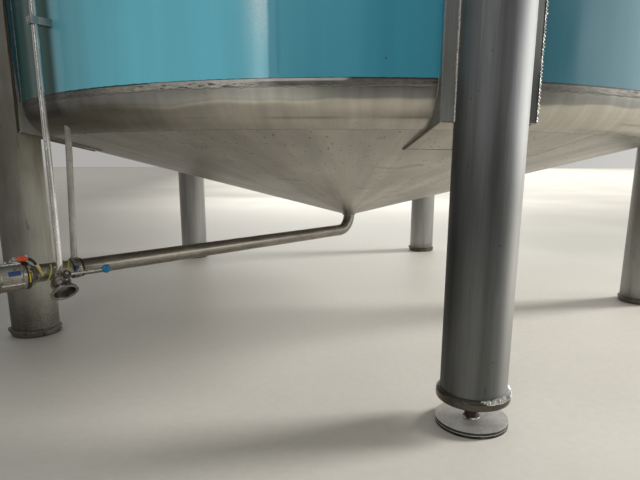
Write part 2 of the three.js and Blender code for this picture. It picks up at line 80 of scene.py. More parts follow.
DRAIN_AZIMUTH = math.radians(217.3)
DRAIN_HEIGHT = 0.425
DRAIN = 0.035
DRAIN_BEND = 0.095
DRAIN_END = 1.945
PIPE_JOINT = 0.78
STEM_PLACE = 2.013
VALVE_BODY = 0.0550
VALVE_RINGS = (0.055, 0.135)
LEVER_HEIGHT = 0.4915
LEVER_TURN = math.pi - math.radians(35)
LEVER_LINE = [(-0.012, 0.0), (0.020, 0.0), (0.052, 0.0), (0.068, -0.010), (0.083, -0.036), (0.099, -0.066)]
HANGER = 1.790
HANGER_HEAD = (1.762, 0, 1.046)
BRANCH_PLACE = 1.867
BRANCH_TILT = math.radians(47)
BRANCH = 0.026
BRANCH_STEM = 0.072
HUB_RIBS = 14
BALL = 0.018
BALL_REACH = 0.1594
TUBE = 0.0115
TUBE_PLACE = 1.877
TUBE_OFFSET = 0.073
TUBE_BEND = 0.028
TUBE_FOOT = 0.439
TUBE_HEAD = ROOF - 0.190
CLIP_HEIGHTS = [1.355, 2.900, 4.400, 5.900]
CLIP_HALVES = (0.017, 0.013)
MANWAY = 0.250
MANWAY_HEIGHT = 0.130
MANWAY_RIM = 0.270
MANWAY_BOLTS = 16
MANWAY_BOLT_CIRCLE = 0.256
VENT = 0.052
VENT_REACH = 0.800
VENT_AZIMUTH = math.radians(60)
LUG_CIRCLE = 1.560
LUG_AZIMUTHS = [math.radians(a) for a in (30, 150, 270)]
LUG_HEIGHT = 0.150
LUG_HALF = 0.065
LUG_EYE = 0.025

# Thin straps on the pipe beside the branch: points, steps and thickness
STRAPS = [
    ([(1.815, 0.012, 0.036), (1.822, 0.026, 0.034), (1.832, 0.041, 0.022), (1.838, 0.047, 0.004)], 24,
     0.0022),
    ([(1.890, 0.020, 0.030), (1.897, 0.044, 0.022), (1.906, 0.056, 0.002), (1.914, 0.050, -0.020),
      (1.918, 0.033, -0.028)], 36, 0.0026),
]

# Camera of the photo, and the light from the right
CAMERA_PLACE = (-0.7923, -3.3080, 0.8697)
CAMERA_TURN, CAMERA_PITCH, CAMERA_ROLL = -0.19173, 0.20863, 0.00532
CAMERA_LENS = 29.462
CAMERA_SENSOR = 36
CAMERA_SHIFT = (-0.01351, 0.04875)
KEY_DIRECTION = (-12.0, -0.5, -4.3)
KEY_POWER = 5.7
KEY_ANGLE = math.radians(17)

# Floor tones, painted light and shade: darker to the left, in front and under the tank, palest far behind.
# Each: along x (0) or y (1), from one place to another, from one tone to another
FLOOR_PAINTED_LIGHT = [(0, -4.2, 1.2, 0.28, 1.10), (1, -7.5, -2.0, 0.30, 1.0),
               (1, -0.8, 2.4, 1.0, 0.80), (1, 3.0, 9.0, 1.0, 1.52)]

FLOOR_HALF = 60
FLOOR_DROP = 0.0004

# Paint: its colours, the colours of its painted highlight and of its painted shade in a corner, its tone
# outside the painted light, and the heights where the painted light fades out
PAINT_DEEP = (0.043, 0.27, 0.375)
PAINT_LIGHT = (0.20, 0.68, 0.84)
PAINTED_HIGHLIGHT = (0.58, 0.74, 0.78)
PAINTED_CORNER_SHADE = (0.004, 0.070, 0.060)
PLATE_TONE = 0.36
TONES_FADE = (1.7, 2.5)

# Joints between the plates of the cone, straight and a little beside the axis
CONE_JOINT_NORMAL = (0.9553, 0.2957)
CONE_JOINT_OFFSET = 0.0492

# Directions round the tank where the painted light and shade on the paint and steel change
PAINT_JOINT = math.radians(-111.1)
SHADED_RIGHT = math.radians(-82)
PAINT_SHADE = [math.radians(a) for a in (-142.5, -139, -121)]
DARK_CORNER = math.radians(-160)
DARK_CORNER_REACH = [math.radians(a) for a in (18.5, 20.5)]
CONE_PAINTED_LIGHT = [math.radians(a) for a in (-140, -85)]
BRIGHT_EDGE_START = math.radians(-125)
BRIGHT_EDGE_END = math.radians(-104)
DARK_KNUCKLE_END = math.radians(-114)
WELD_HIGHLIGHT = math.radians(-118)
BESIDE_LEG = [math.radians(a) for a in (-91, -90, -83, -75)]

# Directions round the front leg where its painted shade, glint and highlight change
LEG_DARK_SIDE = math.radians(-97)
LEG_DARK_FRONT = math.radians(-11)
LEG_GLINT = math.radians(-48)
LEG_BRIGHT_FROM = math.radians(3)
LEG_BRIGHT_TO = math.radians(37)
LEG_BRIGHT_END = math.radians(110)

TANK_PLACE = Matrix.Translation((0, AXIS_Y, 0))
DRAIN_PLACE = TANK_PLACE @ Matrix.Rotation(DRAIN_AZIMUTH, 4, "Z")


def leg_place(index):
    turn = Matrix.Rotation(LEG_AZIMUTHS[index], 4, "Z")
    return TANK_PLACE @ turn @ Matrix.Translation((LEG_CIRCLE, 0, 0))


def branch_place(along=0.0):
    stem = Vector((0, math.sin(BRANCH_TILT), math.cos(BRANCH_TILT)))
    axis = Vector((0, math.cos(BRANCH_TILT), -math.sin(BRANCH_TILT)))
    out = axis.cross(stem)
    turn = Matrix((stem, out, axis)).transposed().to_4x4()
    shift = Matrix.Translation((BRANCH_PLACE, 0, DRAIN_HEIGHT))
    return DRAIN_PLACE @ shift @ turn @ Matrix.Translation((0, 0, along))


# Materials


class Value:
    """A socket that can be added, multiplied and so on. Each sign makes one math node."""

    def __init__(self, nodes, socket):
        self.nodes, self.socket = nodes, socket

    def __add__(self, other):
        return self.nodes.math("ADD", self, other)

    def __radd__(self, other):
        return self.nodes.math("ADD", other, self)

    def __sub__(self, other):
        return self.nodes.math("SUBTRACT", self, other)

    def __rsub__(self, other):
        return self.nodes.math("SUBTRACT", other, self)

    def __mul__(self, other):
        return self.nodes.math("MULTIPLY", self, other)

    def __truediv__(self, other):
        return self.nodes.math("DIVIDE", self, other)

    def __abs__(self):
        return self.nodes.math("ABSOLUTE", self)


class Nodes:
    """A tree, built node by node. Each method returns the value that its node makes."""

    def __init__(self, tree, end, shader, coordinates):
        self.tree = tree
        tree.nodes.clear()
        self.shader = tree.nodes.new(shader)
        tree.links.new(self.shader.outputs[0], tree.nodes.new(end).inputs["Surface"])
        self.at = self.node("TexCoord", {}, coordinates)

    def put(self, socket, value):
        if isinstance(value, Value):
            self.tree.links.new(value.socket, socket)
        elif socket.type == "RGBA":
            socket.default_value = (*value, 1)
        else:
            socket.default_value = value

    def node(self, kind, inputs, output=0, **settings):
        """A new node, with its inputs by name or number."""
        made = self.tree.nodes.new("ShaderNode" + kind)
        for name, value in settings.items():
            setattr(made, name, value)
        for name, value in inputs.items():
            self.put(made.inputs[name], value)
        return Value(self, made.outputs[output])

    def set(self, **values):
        """Values of the shader's own inputs."""
        for name, value in values.items():
            self.put(self.shader.inputs[name.replace("_", " ")], value)

    def math(self, operation, *values, clamp=False):
        return self.node("Math", dict(enumerate(values)), operation=operation, use_clamp=clamp)

    def larger(self, first, second):
        return self.math("MAXIMUM", first, second)

    def split(self):
        return [self.node("SeparateXYZ", {0: self.at}, k) for k in range(3)]

    def join(self, *values):
        return self.node("CombineXYZ", dict(enumerate(values)))

    def scaled(self, *scales):
        return self.node("VectorMath", {0: self.at, 1: scales}, operation="MULTIPLY")

    def noise(self, vector, scale=1.0, detail=2.0, roughness=0.5, distortion=0.0):
        inputs = {"Vector": vector, "Scale": scale, "Detail": detail, "Roughness": roughness}
        return self.node("TexNoise", {**inputs, "Distortion": distortion}, "Fac")

    def span(self, value, low, high, to_low=0.0, to_high=1.0):
        """Goes smoothly from one number to another while a value goes from low to high."""
        inputs = {"Value": value, "From Min": low, "From Max": high, "To Min": to_low, "To Max": to_high}
        return self.node("MapRange", inputs, "Result", interpolation_type="SMOOTHSTEP")

    def near(self, value, middle, inner, outer, to_near=1.0, to_far=0.0):
        """Goes smoothly from one number to another while a value goes away from the middle."""
        return self.span(abs(value - middle), inner, outer, to_near, to_far)

    def mix(self, factor, first, second):
        return self.node("Mix", {0: factor, 6: first, 7: second}, 2, data_type="RGBA")

    def dim(self, colour, amount, *span):
        """A colour times a number, which can change while the amount goes from low to high."""
        if span:
            amount = self.span(amount, *span)
        return self.node("VectorMath", {0: colour, "Scale": amount}, operation="SCALE")

    def bump(self, height, distance, strength=1.0, over=None):
        inputs = {"Height": height, "Distance": distance, "Strength": strength}
        if over is not None:
            inputs["Normal"] = over
        return self.node("Bump", inputs)

    def around(self):
        """Unit direction from the piece's own upright axis, the distance from it, and the height."""
        x, y, z = self.split()
        distance = self.larger(self.math("SQRT", x * x + y * y), 0.001)
        return x / distance, y / distance, distance, z

    def sheen(self, amount):
        """Stretches highlights round the piece's upright axis, as brushing along that axis does."""
        self.set(Tangent=self.node("Tangent", {}, direction_type="RADIAL", axis="Z"), Anisotropic=amount)

    def specks(self, vector, scale, size, share):
        """Small round specks, 1 inside, sparse."""
        cells = self.node("TexVoronoi", {"Vector": vector, "Scale": scale}, "Distance")
        patch = self.span(self.noise(vector, scale * 0.45, 1.0), 1 - share, 1.06 - share)
        return self.span(cells, size * 0.5, size, 1.0, 0.0) * patch


class Look(Nodes):
    """A material on the piece's own coordinates."""

    def __init__(self, name):
        self.material = bpy.data.materials.new(name)
        self.material.use_nodes = True
        super().__init__(self.material.node_tree, "ShaderNodeOutputMaterial", "ShaderNodeBsdfPrincipled",
                         "Object")


def shaded(colour, share):
    return tuple(share * c for c in colour)


def paint_cloud(look):
    return look.span(look.noise(look.scaled(1, 1, 0.7), 0.8, 2.0), 0.3, 0.7, 0.0, 0.30)


def joint_painted_reflection(look, angle, z, low):
    """The plates meet in an upright joint; left of it the paint is paler as a painted reflection, most of
    all along the joint, where a painted highlight runs.
    """
    joint = (angle - PAINT_JOINT) * SHELL
    ragged = joint + look.noise(look.scaled(0, 0, 9), 1.0, 2.0) * 0.006
    left = look.span(ragged, 0.0, 0.010, 1.0, 0.0)
    painted_haze = left * look.span(joint, -1.9, -1.0) * low
    grain = look.span(look.noise(look.at, 170, 3.0, 0.7), 0.34, 0.52, 0.35, 1.0)
    strip = look.span(joint, -0.095, -0.015) * left * look.span(z, 1.12, 1.42, 0.10, 0.85) * grain
    return painted_haze, strip


def first_course_paint(look, angle, z):
    """Paint with the painted light and shade that run round the first course and fade out upwards."""
    low = look.span(z, *TONES_FADE, 1.0, 0.0)
    painted_haze, strip = joint_painted_reflection(look, angle, z, low)
    tone = look.math("ADD", paint_cloud(look), painted_haze * 0.62, clamp=True)
    # Painted light from beside the tube to the front leg, over the darker tone the paint has elsewhere
    start, middle, end = PAINT_SHADE
    lit = look.span(angle, start, middle, 0.0, 0.52) + look.span(angle, middle, end, 0.0, 0.48)
    lit = lit * look.span(angle - SHADED_RIGHT, -0.13, -0.02, 1.0, 0.0) * low
    colour = look.mix(tone, PAINT_DEEP, PAINT_LIGHT)
    colour = look.dim(colour, lit, 0.0, 1.0, PLATE_TONE, 1.0)
    # Painted shade in the corner beside the left leg, then the painted highlight along the joint
    corner = look.near(angle, DARK_CORNER, *DARK_CORNER_REACH) * low
    colour = look.mix(corner * 0.92, colour, PAINTED_CORNER_SHADE)
    colour = look.mix(strip, colour, PAINTED_HIGHLIGHT)
    chalk = look.larger(look.span(angle - SHADED_RIGHT, -0.10, 0.06) * low, corner)
    return colour, chalk, corner


def shell_look(course):
    """Teal paint. The first course has painted light left of the front leg and painted shade right of it
    and far left, where it is also less glossy, with a ragged edge.
    """
    look = Look(f"teal_paint_{course + 1}")
    x, y, z = look.split()
    if course == 0:
        colour, chalk, corner = first_course_paint(look, look.math("ARCTAN2", y, x), z)
    else:
        colour = look.dim(look.mix(paint_cloud(look), PAINT_DEEP, PAINT_LIGHT), PLATE_TONE)
    streak = look.noise(look.scaled(9, 9, 0.5), 1.0, 3.0)
    colour = look.dim(colour, streak, 0.25, 0.75, 0.93, 1.06)
    colour = look.mix(look.specks(look.at, 11, 0.055, 0.44) * 0.7, colour, (0.012, 0.03, 0.035))
    colour = look.mix(look.specks(look.scaled(1, 1, 1), 17, 0.06, 0.36) * 0.8, colour, (0.42, 0.55, 0.56))
    wave = look.bump(look.noise(look.scaled(1, 1, 0.6), 2.2, 1.0), 0.010, 0.35)
    dents = look.bump(look.noise(look.at, 9, 2.0), 0.0006, 0.5, wave)
    peel = look.bump(look.noise(look.at, 260, 2.0), 0.00008, 0.5, dents)
    rough = look.span(look.noise(look.at, 3.5, 3.0), 0.3, 0.7, 0.14, 0.26)
    coat, gloss = 0.25, 0.5
    if course == 0:
        # Dark ragged edge at the seam, and less gloss where the paint is duller
        ragged = z + look.noise(look.at, 45, 3.0) * 0.004
        edge = look.span(ragged, SEAM + 0.003, SEAM + 0.005, 1.0, 0.0)
        colour = look.mix(edge, colour, (0.03, 0.035, 0.03))
        coat = look.span(chalk, 0.0, 1.0, coat, 0.05)
        gloss = look.span(chalk, 0.0, 1.0, gloss, 0.26) * look.span(corner, 0.0, 1.0, 1.0, 0.45)
    look.set(Base_Color=colour, Roughness=rough, Normal=peel, Metallic=0.0)
    look.set(Coat_Weight=coat, Coat_Roughness=0.07, Specular_IOR_Level=gloss)
    return look.material


def rolled_plate(look, angle, ring, drop, cloud):
    """Smooth plate under a dull band with a wavy edge. Returns the colour and the wavy height."""
    line = drop + (look.noise(ring, 5.5, 2.0) - 0.5) * 0.052
    colour = look.mix(look.span(line, 0.058, 0.066, 1.0, 0.0), (0.55, 0.518, 0.455), (0.35, 0.35, 0.325))
    # Painted shade right of the front leg
    colour = look.dim(colour, angle - SHADED_RIGHT, -0.1, 0.1, 1.0, 0.92)
    colour = look.dim(colour, cloud, 0.35, 0.65, 0.86, 1.08)
    # The dull band has a painted highlight round one place and painted shade beside the front leg
    upper = look.span(line, 0.050, 0.078, 1.0, 0.0)
    colour = look.dim(colour, 1.0 + upper * look.near(angle, WELD_HIGHLIGHT - 0.03, 0.10, 0.34, 1.25))
    colour = look.dim(colour, 1.0 - upper * look.near(angle, SHADED_RIGHT - 0.20, 0.16, 0.30, 0.30))
    # The plate left of the front is browner low down, as painted shade, and a brown streak runs where the
    # roll has rubbed
    brown = look.span(angle - DARK_KNUCKLE_END, -0.42, -0.06, 0.85, 0.0) * look.span(line, 0.040, 0.072)
    colour = look.mix(brown, colour, (0.16, 0.148, 0.11))
    rub = look.near(drop + look.noise(ring, 2.0, 1.0) * 0.03, 0.122, 0.001, 0.006)
    rub = rub * look.span(look.noise(ring, 3.4, 1.0), 0.46, 0.58, 0.0, 0.42)
    return look.mix(rub, colour, (0.17, 0.14, 0.105)), line


def ground_weld(look, angle, ring, weld, marks):
    """Metal of the ground weld, with a painted highlight round one place, painted shade beside the front
    leg, and dark marks.
    """
    metal = look.mix(look.span(weld, 0.32, 0.68), (0.31, 0.30, 0.275), (0.44, 0.43, 0.395))
    off = angle - WELD_HIGHLIGHT
    off = look.larger(off * -1.0, off * 2.1)
    beside = look.span(angle, *BESIDE_LEG[2:], 0.58, 0.97)
    beside = look.larger(look.span(angle, *BESIDE_LEG[:2], 1.0, 0.0), beside)
    metal = look.dim(metal, look.span(off, 0.12, 0.32, 2.35, 0.70) * beside)
    where = look.span(look.noise(ring, 3.1, 1.0), 0.44, 0.56, 0.10, 0.70)
    where = look.larger(where, look.span(off, 0.10, 0.20, 0.85, 0.0))
    return look.mix(look.span(marks, 0.53, 0.60) * where, metal, (0.045, 0.045, 0.04))


def seam_edge(look, colour, angle, drop):
    """The edge right under the paint: a painted highlight along one stretch, and dark elsewhere."""
    ran = look.span(angle - BRIGHT_EDGE_START, 0.0, 0.02)
    ran = ran * look.span(angle - BRIGHT_EDGE_END, 0.0, 0.02, 1.0, 0.0)
    edge = look.mix(ran, (0.07, 0.066, 0.055), (0.95, 0.94, 0.90))
    low, high = look.span(ran, 0.0, 1.0, 0.0016, 0.0060), look.span(ran, 0.0, 1.0, 0.0032, 0.0095)
    return look.mix(look.span(drop, low, high, 0.9, 0.0), colour, edge)


def knuckle_look(name, seam, up):
    """Rolled steel between the seam and the cone: ground weld, dull band, then smoother plate."""
    look = Look(name)
    dx, dy, _, z = look.around()
    drop, angle = (z - seam) * up, look.math("ARCTAN2", dy, dx)
    ring = look.join(dx, dy, 0.0)
    cloud = look.noise(look.join(dx, dy, z * 2.0), 3.0, 3.0)
    colour, line = rolled_plate(look, angle, ring, drop, cloud)
    band = look.span(drop + (look.noise(ring, 26, 2.0) - 0.5) * 0.014, 0.019, 0.025, 1.0, 0.0)
    weld = look.noise(look.join(dx, dy, z * 2.6), 62, 3.0, 0.6)
    marks = look.noise(look.join(dx, dy, z * 3.5), 44, 3.0, 0.65)
    colour = look.mix(band, colour, ground_weld(look, angle, ring, weld, marks))
    lower = drop + (look.noise(ring, 60, 2.0) - 0.5) * 0.016
    colour = look.mix(look.near(lower, 0.024, 0.0006, 0.0022, 0.45), colour, (0.07, 0.068, 0.06))
    colour = seam_edge(look, colour, angle, drop)
    # Painted shade in the corner beside the left leg
    corner = look.near(angle, DARK_CORNER, *DARK_CORNER_REACH)
    colour = look.dim(colour, 1.0 - corner * look.span(line, 0.06, 0.09, 0.68, 0.0))
    # Run marks and scratches
    runs = look.noise(look.join(dx, dy, z * 0.12), 46, 3.0)
    colour = look.dim(colour, runs, 0.3, 0.7, 0.90, 1.06)
    scratch = look.noise(look.join(dx + z * 0.6, dy, z), 60, 2.0, 0.5, 0.4)
    scratch = look.near(scratch, 0.5, 0.0, 0.006, 0.35)
    scratch = scratch * look.span(look.noise(look.at, 4.0, 1.0), 0.52, 0.60)
    colour = look.mix(scratch, colour, (0.10, 0.09, 0.075))
    brush = look.noise(look.join(dx, dy, z * 60.0), 9, 2.0)
    rough = look.span(brush, 0.3, 0.7, 0.33, 0.43) + band * 0.08
    waves = look.bump(look.noise(look.at, 5.0, 2.0), 0.0025, 0.35, look.bump(weld * band, 0.0022, 0.7))
    look.set(Base_Color=colour, Roughness=rough, Metallic=0.92,
             Normal=look.bump(brush, 0.00025, 0.5, waves))
    return look.material


def cone_joints(look, turns):
    """Grooves where the cone's plates meet, each straight and a little beside the axis."""
    x, y, _ = look.split()
    groove = 0.0
    for turn in turns:
        nx = CONE_JOINT_NORMAL[0] * math.cos(turn) - CONE_JOINT_NORMAL[1] * math.sin(turn)
        ny = CONE_JOINT_NORMAL[0] * math.sin(turn) + CONE_JOINT_NORMAL[1] * math.cos(turn)
        side = look.span(x * ny - y * nx, 0.0, 0.02)
        groove = look.larger(groove, look.near(x * nx + y * ny, CONE_JOINT_OFFSET, 0.0012, 0.0040) * side)
    return groove


def cone_look(name, joints):
    """Plate brushed along the radius, with the joints between its plates."""
    look = Look(name)
    dx, dy, distance, z = look.around()
    x, y, _ = look.split()
    fine = look.noise(look.join(dx, dy, distance * 0.012), 150, 3.0, 0.6)
    broad = look.noise(look.join(dx, dy, distance * 0.10), 11, 3.0, 0.55)
    cloud = look.noise(look.scaled(1, 1, 1), 2.6, 3.0, 0.55)
    colour = look.mix(look.span(cloud, 0.35, 0.68), (0.345, 0.325, 0.285), (0.45, 0.425, 0.375))
    colour = look.dim(colour, broad, 0.28, 0.72, 0.80, 1.14)
    colour = look.dim(colour, fine, 0.25, 0.75, 0.86, 1.11)
    angle = look.math("ARCTAN2", dy, dx)
    # Painted light: brighter from the left towards the front leg
    colour = look.dim(colour, angle, *CONE_PAINTED_LIGHT, 0.94, 1.16)
    stain = look.span(look.noise(look.at, 5.2, 4.0, 0.6, 0.6), 0.57, 0.68, 0.0, 0.45)
    colour = look.mix(stain, colour, (0.20, 0.175, 0.135))
    colour = look.mix(look.specks(look.at, 27, 0.17, 0.57) * 0.85, colour, (0.05, 0.045, 0.04))
    dashes = look.specks(look.join(dx * 4.2, dy * 4.2, distance), 15, 0.19, 0.56)
    colour = look.mix(dashes * 0.75, colour, (0.07, 0.062, 0.05))
    scratch = look.noise(look.join(x * 1.0, y * 0.35, z), 7, 2.0, 0.5, 1.2)
    scratch = look.near(scratch, 0.5, 0.0, 0.004, 0.30)
    colour = look.mix(scratch * look.span(cloud, 0.5, 0.6), colour, (0.17, 0.15, 0.12))
    groove = cone_joints(look, joints)
    colour = look.mix(groove * 0.7, colour, (0.09, 0.08, 0.065))
    waves = look.bump(look.noise(look.at, 2.4, 2.0), 0.006, 0.35)
    lines = look.bump(fine + broad * 0.5, 0.00045, 0.6, waves)
    look.set(Base_Color=colour, Roughness=look.span(fine, 0.25, 0.75, 0.30, 0.42), Metallic=0.92)
    look.set(Normal=look.bump(1.0 - groove, 0.0015, 0.8, lines))
    return look.material


def foot_grime(look, shade, speckled, z, foot, brown):
    """Splashed dirt up to a height above the leg's end."""
    reach = z + (look.noise(speckled, 24, 4.0, 0.65) - 0.5) * (0.5 * foot)
    spots = look.span(look.noise(speckled, 150, 4.0, 0.7), 0.36, 0.62, 0.55, 1.0)
    return look.mix(look.span(reach, 0.15 * foot, foot, 0.85, 0.0) * spots, shade, shaded(brown, 0.30))


def front_leg_light(look, shade, turn, z, streak):
    """Painted shade low down, along one side and beside the front, one painted glint above, and a painted
    highlight down the bright side.
    """
    shade = look.dim(shade, z, 0.60, 1.10, 0.68, 1.0)
    side = look.near(turn, LEG_DARK_SIDE, 0.25, 0.85) * look.span(z, 0.85, 1.25, 0.58, 0.20)
    shade = look.dim(shade, 1.0 - side)
    shade = look.dim(shade, look.near(turn, LEG_DARK_FRONT, 0.08, 0.30, 0.74, 1.0))
    lit = look.near(turn, LEG_GLINT, 0.01, 0.045) * look.span(z, 1.05, 1.6)
    shade = look.mix(lit * 0.55, shade, (0.72, 0.74, 0.75))
    bright = look.dim(look.join(0.51, 0.515, 0.51), streak, 0.3, 0.7, 0.92, 1.07)
    bright = look.dim(bright, z, 0.15, 0.60, 0.80, 1.25)
    bright = look.dim(bright, z, 0.80, 1.15, 1.0, 0.80)
    there = look.span(turn, LEG_BRIGHT_FROM, LEG_BRIGHT_TO)
    there = there * look.span(turn, LEG_BRIGHT_TO + 0.4, LEG_BRIGHT_END, 1.0, 0.3)
    return look.mix(there, shade, bright)


def paint_over(look, x, z):
    """Where the shell's paint runs over the bracket's sides, nearly to the face plate."""
    ragged = (look.noise(look.at, 40, 3.0) - 0.5) * 0.006
    edge = look.span(z, SEAM, SEAM + 0.32, BRACKET_FACE - 0.017, BRACKET_FACE - 0.0045)
    over = look.span(x + ragged - edge, -0.0006, 0.0006, 1.0, 0.0)
    return over * look.span(z + ragged, SEAM + 0.003, SEAM + 0.005)


def upright_look(name, colour, brown, rough, seed, dirt=0.3, drips=0.5, foot=0.0, low=1.0, metal=0.92,
                 front=False, paint=0.0, dark_from=0.0, dark_at=None):
    """Steel brushed upwards, with streaks, drips and specks, dirt up to a height above its foot, and
    painted light and shade where asked.
    """
    look = Look(name)
    x, y, z = look.split()
    aside = x + seed
    turn = look.math("ARCTAN2", y, x)
    fine = look.noise(look.join(aside, y, z * 0.02), 260, 2.0, 0.6)
    streak = look.noise(look.join(aside, y, z * 0.06), 26, 3.0, 0.55)
    cloud = look.noise(look.join(aside, y, z * 0.35), 5, 4.0, 0.6)
    shade = look.dim(look.join(*colour), streak, 0.28, 0.72, 0.86, 1.12)
    shade = look.dim(shade, cloud, 0.3, 0.7, 0.88, 1.10)
    shade = look.dim(shade, fine, 0.3, 0.7, 0.93, 1.06)
    shade = look.mix(look.span(cloud, 0.42, 0.66) * dirt, shade, brown)
    drip = look.span(look.noise(look.join(x + (seed + 3), y, z * 0.16), 34, 2.0, 0.5, 0.2), 0.66, 0.72)
    drip = drip * look.span(look.noise(look.at, 6, 1.0), 0.5, 0.6)
    shade = look.mix(drip * drips, shade, shaded(colour, 0.35))
    speckled = look.join(aside, y, z)
    shade = look.mix(look.specks(speckled, 30, 0.10, 0.46) * 0.7, shade, shaded(colour, 0.25))
    if foot > 0:
        shade = foot_grime(look, shade, speckled, z, foot, brown)
    # Darker towards the bottom: painted shade on the front leg, dirt on the left leg
    shade = look.dim(shade, z, 0.15, 1.0, low, 1.0)
    if front:
        shade = front_leg_light(look, shade, turn, z, streak)
    # Painted shade round one direction and painted light opposite it
    if dark_at is not None:
        shade = look.dim(shade, look.near(turn, dark_at, 0.45, 1.15, 0.74, 1.14))
    # Painted shade beyond a line across the plate and towards its bottom
    if dark_from > 0:
        shade = look.dim(shade, y, dark_from - 0.01, dark_from, 1.0, 0.42)
        shade = look.dim(shade, z, BRACKET_BOTTOM, 1.35, 0.72, 1.0)
    if paint > 0:
        over = paint_over(look, x, z)
        shade = look.mix(over, shade, shaded(PAINT_DEEP, paint))
        metal = look.span(over, 0.0, 1.0, metal, 0.0)
    dents = look.bump(look.noise(look.at, 7, 2.0), 0.0008, 0.4)
    look.set(Base_Color=shade, Metallic=metal, Normal=look.bump(fine + streak, 0.00018, 0.5, dents))
    look.set(Roughness=look.span(streak, 0.3, 0.7, rough - 0.04, rough + 0.05))
    look.sheen(0.75)
    return look.material


def steel_look(name, colour, rough, stain=(0.14, 0.12, 0.10), grime=0.35, scale=1.0, stretch=(1, 1, 1),
               wear=1.0):
    """Plain worked steel: mottled, stained and specked, with a fine grain along one direction."""
    look = Look(name)
    grain = look.noise(look.scaled(*stretch), 220 * scale, 3.0, 0.6)
    cloud = look.noise(look.at, 9 * scale, 4.0, 0.6)
    patch = look.noise(look.at, 26 * scale, 3.0, 0.6, 0.4)
    shade = look.dim(look.join(*colour), cloud, 0.3, 0.7, 0.82, 1.14)
    shade = look.dim(shade, grain, 0.3, 0.7, 0.90, 1.08)
    shade = look.mix(look.span(patch, 0.54, 0.70, 0.0, grime), shade, stain)
    shade = look.mix(look.specks(look.at, 42 * scale, 0.10, 0.45) * (0.7 * wear), shade, shaded(stain, 0.3))
    lines = look.bump(grain, 0.00015 * wear, 0.5, look.bump(patch, 0.0006 * wear, 0.35))
    look.set(Base_Color=shade, Metallic=0.92, Normal=lines)
    look.set(Roughness=look.span(cloud, 0.3, 0.7, rough - 0.05, rough + 0.07))
    return look.material


def weld_look(name, colour, tint):
    """Weld metal: bright, with brown and blue heat colours in places."""
    look = Look(name)
    heat = look.noise(look.at, 38, 3.0, 0.6)
    shade = look.mix(look.span(heat, 0.50, 0.70, 0.0, tint), colour, (0.16, 0.11, 0.075))
    shade = look.mix(look.span(heat, 0.30, 0.42, tint * 0.7, 0.0), shade, (0.14, 0.16, 0.20))
    soot = look.span(look.noise(look.at, 120, 2.0), 0.60, 0.68, 0.0, 0.6)
    shade = look.mix(soot, shade, (0.06, 0.055, 0.05))
    grain = look.bump(look.noise(look.at, 600, 2.0), 0.0003, 0.5)
    look.set(Base_Color=shade, Metallic=0.95, Roughness=look.span(heat, 0.3, 0.7, 0.22, 0.36), Normal=grain)
    return look.material


def plastic_look(name, colour, rough=0.45, dirt=0.35):
    """Worn plastic, rubber or paint with grime in places."""
    look = Look(name)
    worn = look.noise(look.at, 60, 4.0, 0.65)
    shade = look.dim(look.join(*colour), worn, 0.3, 0.7, 0.82, 1.12)
    grime = look.span(look.noise(look.at, 150, 3.0, 0.6, 0.5), 0.52, 0.70, 0.0, dirt)
    shade = look.mix(grime, shade, tuple(0.18 * c + 0.015 for c in colour))
    grain = look.bump(look.noise(look.at, 420, 3.0), 0.0002, 0.6)
    look.set(Base_Color=shade, Roughness=look.span(worn, 0.3, 0.7, rough - 0.08, rough + 0.1), Normal=grain)
    return look.material


def floor_look():
    """Pale floor with painted light and shade: darker in front, towards the left and under the tank, and
    palest far behind.
    """
    look = Look("floor")
    cloud = look.noise(look.at, 0.55, 4.0, 0.55)
    shade = look.mix(look.span(cloud, 0.3, 0.7), (0.52, 0.50, 0.45), (0.585, 0.565, 0.515))
    fine = look.noise(look.at, 30, 4.0, 0.6)
    shade = look.dim(shade, fine, 0.3, 0.7, 0.97, 1.02)
    x, y, _ = look.split()
    for along, *tones in FLOOR_PAINTED_LIGHT:
        shade = look.dim(shade, (x, y)[along], *tones)
    look.set(Base_Color=shade, Roughness=look.span(cloud, 0.3, 0.7, 0.50, 0.62),
             Normal=look.bump(fine, 0.0008, 0.3))
    return look.material


# Shapes: each function returns points and faces


def grid(points, close_rows=False, close_columns=True):
    """Faces over rows and columns of points."""
    points = np.asarray(points, float)
    rows, columns = points.shape[:2]
    i = np.arange(rows if close_rows else rows - 1)[:, None]
    j = np.arange(columns if close_columns else columns - 1)[None, :]
    k, m = (i + 1) % rows, (j + 1) % columns
    faces = np.stack([i * columns + j, i * columns + m, k * columns + m, k * columns + j], axis=-1)
    return points.reshape(-1, 3), faces.reshape(-1, 4).tolist()


def rounded(points, radius, steps=4):
    """An open line of 2-D points with its inner corners rounded. A point may carry its own radius."""
    radii = [p[2] if len(p) > 2 else radius for p in points]
    flat = [np.array(p[:2], float) for p in points]
    made = [flat[0]]
    for before, corner, after, reach in zip(flat, flat[1:], flat[2:], radii[1:]):
        back, on = before - corner, after - corner
        length = min(reach, 0.45 * np.linalg.norm(back), 0.45 * np.linalg.norm(on))
        if length < 1e-6:
            made.append(corner)
            continue
        a = corner + back / np.linalg.norm(back) * length
        b = corner + on / np.linalg.norm(on) * length
        for t in np.linspace(0, 1, steps + 1):
            made.append((1 - t) ** 2 * a + 2 * t * (1 - t) * corner + t * t * b)
    made.append(flat[-1])
    return np.array(made)


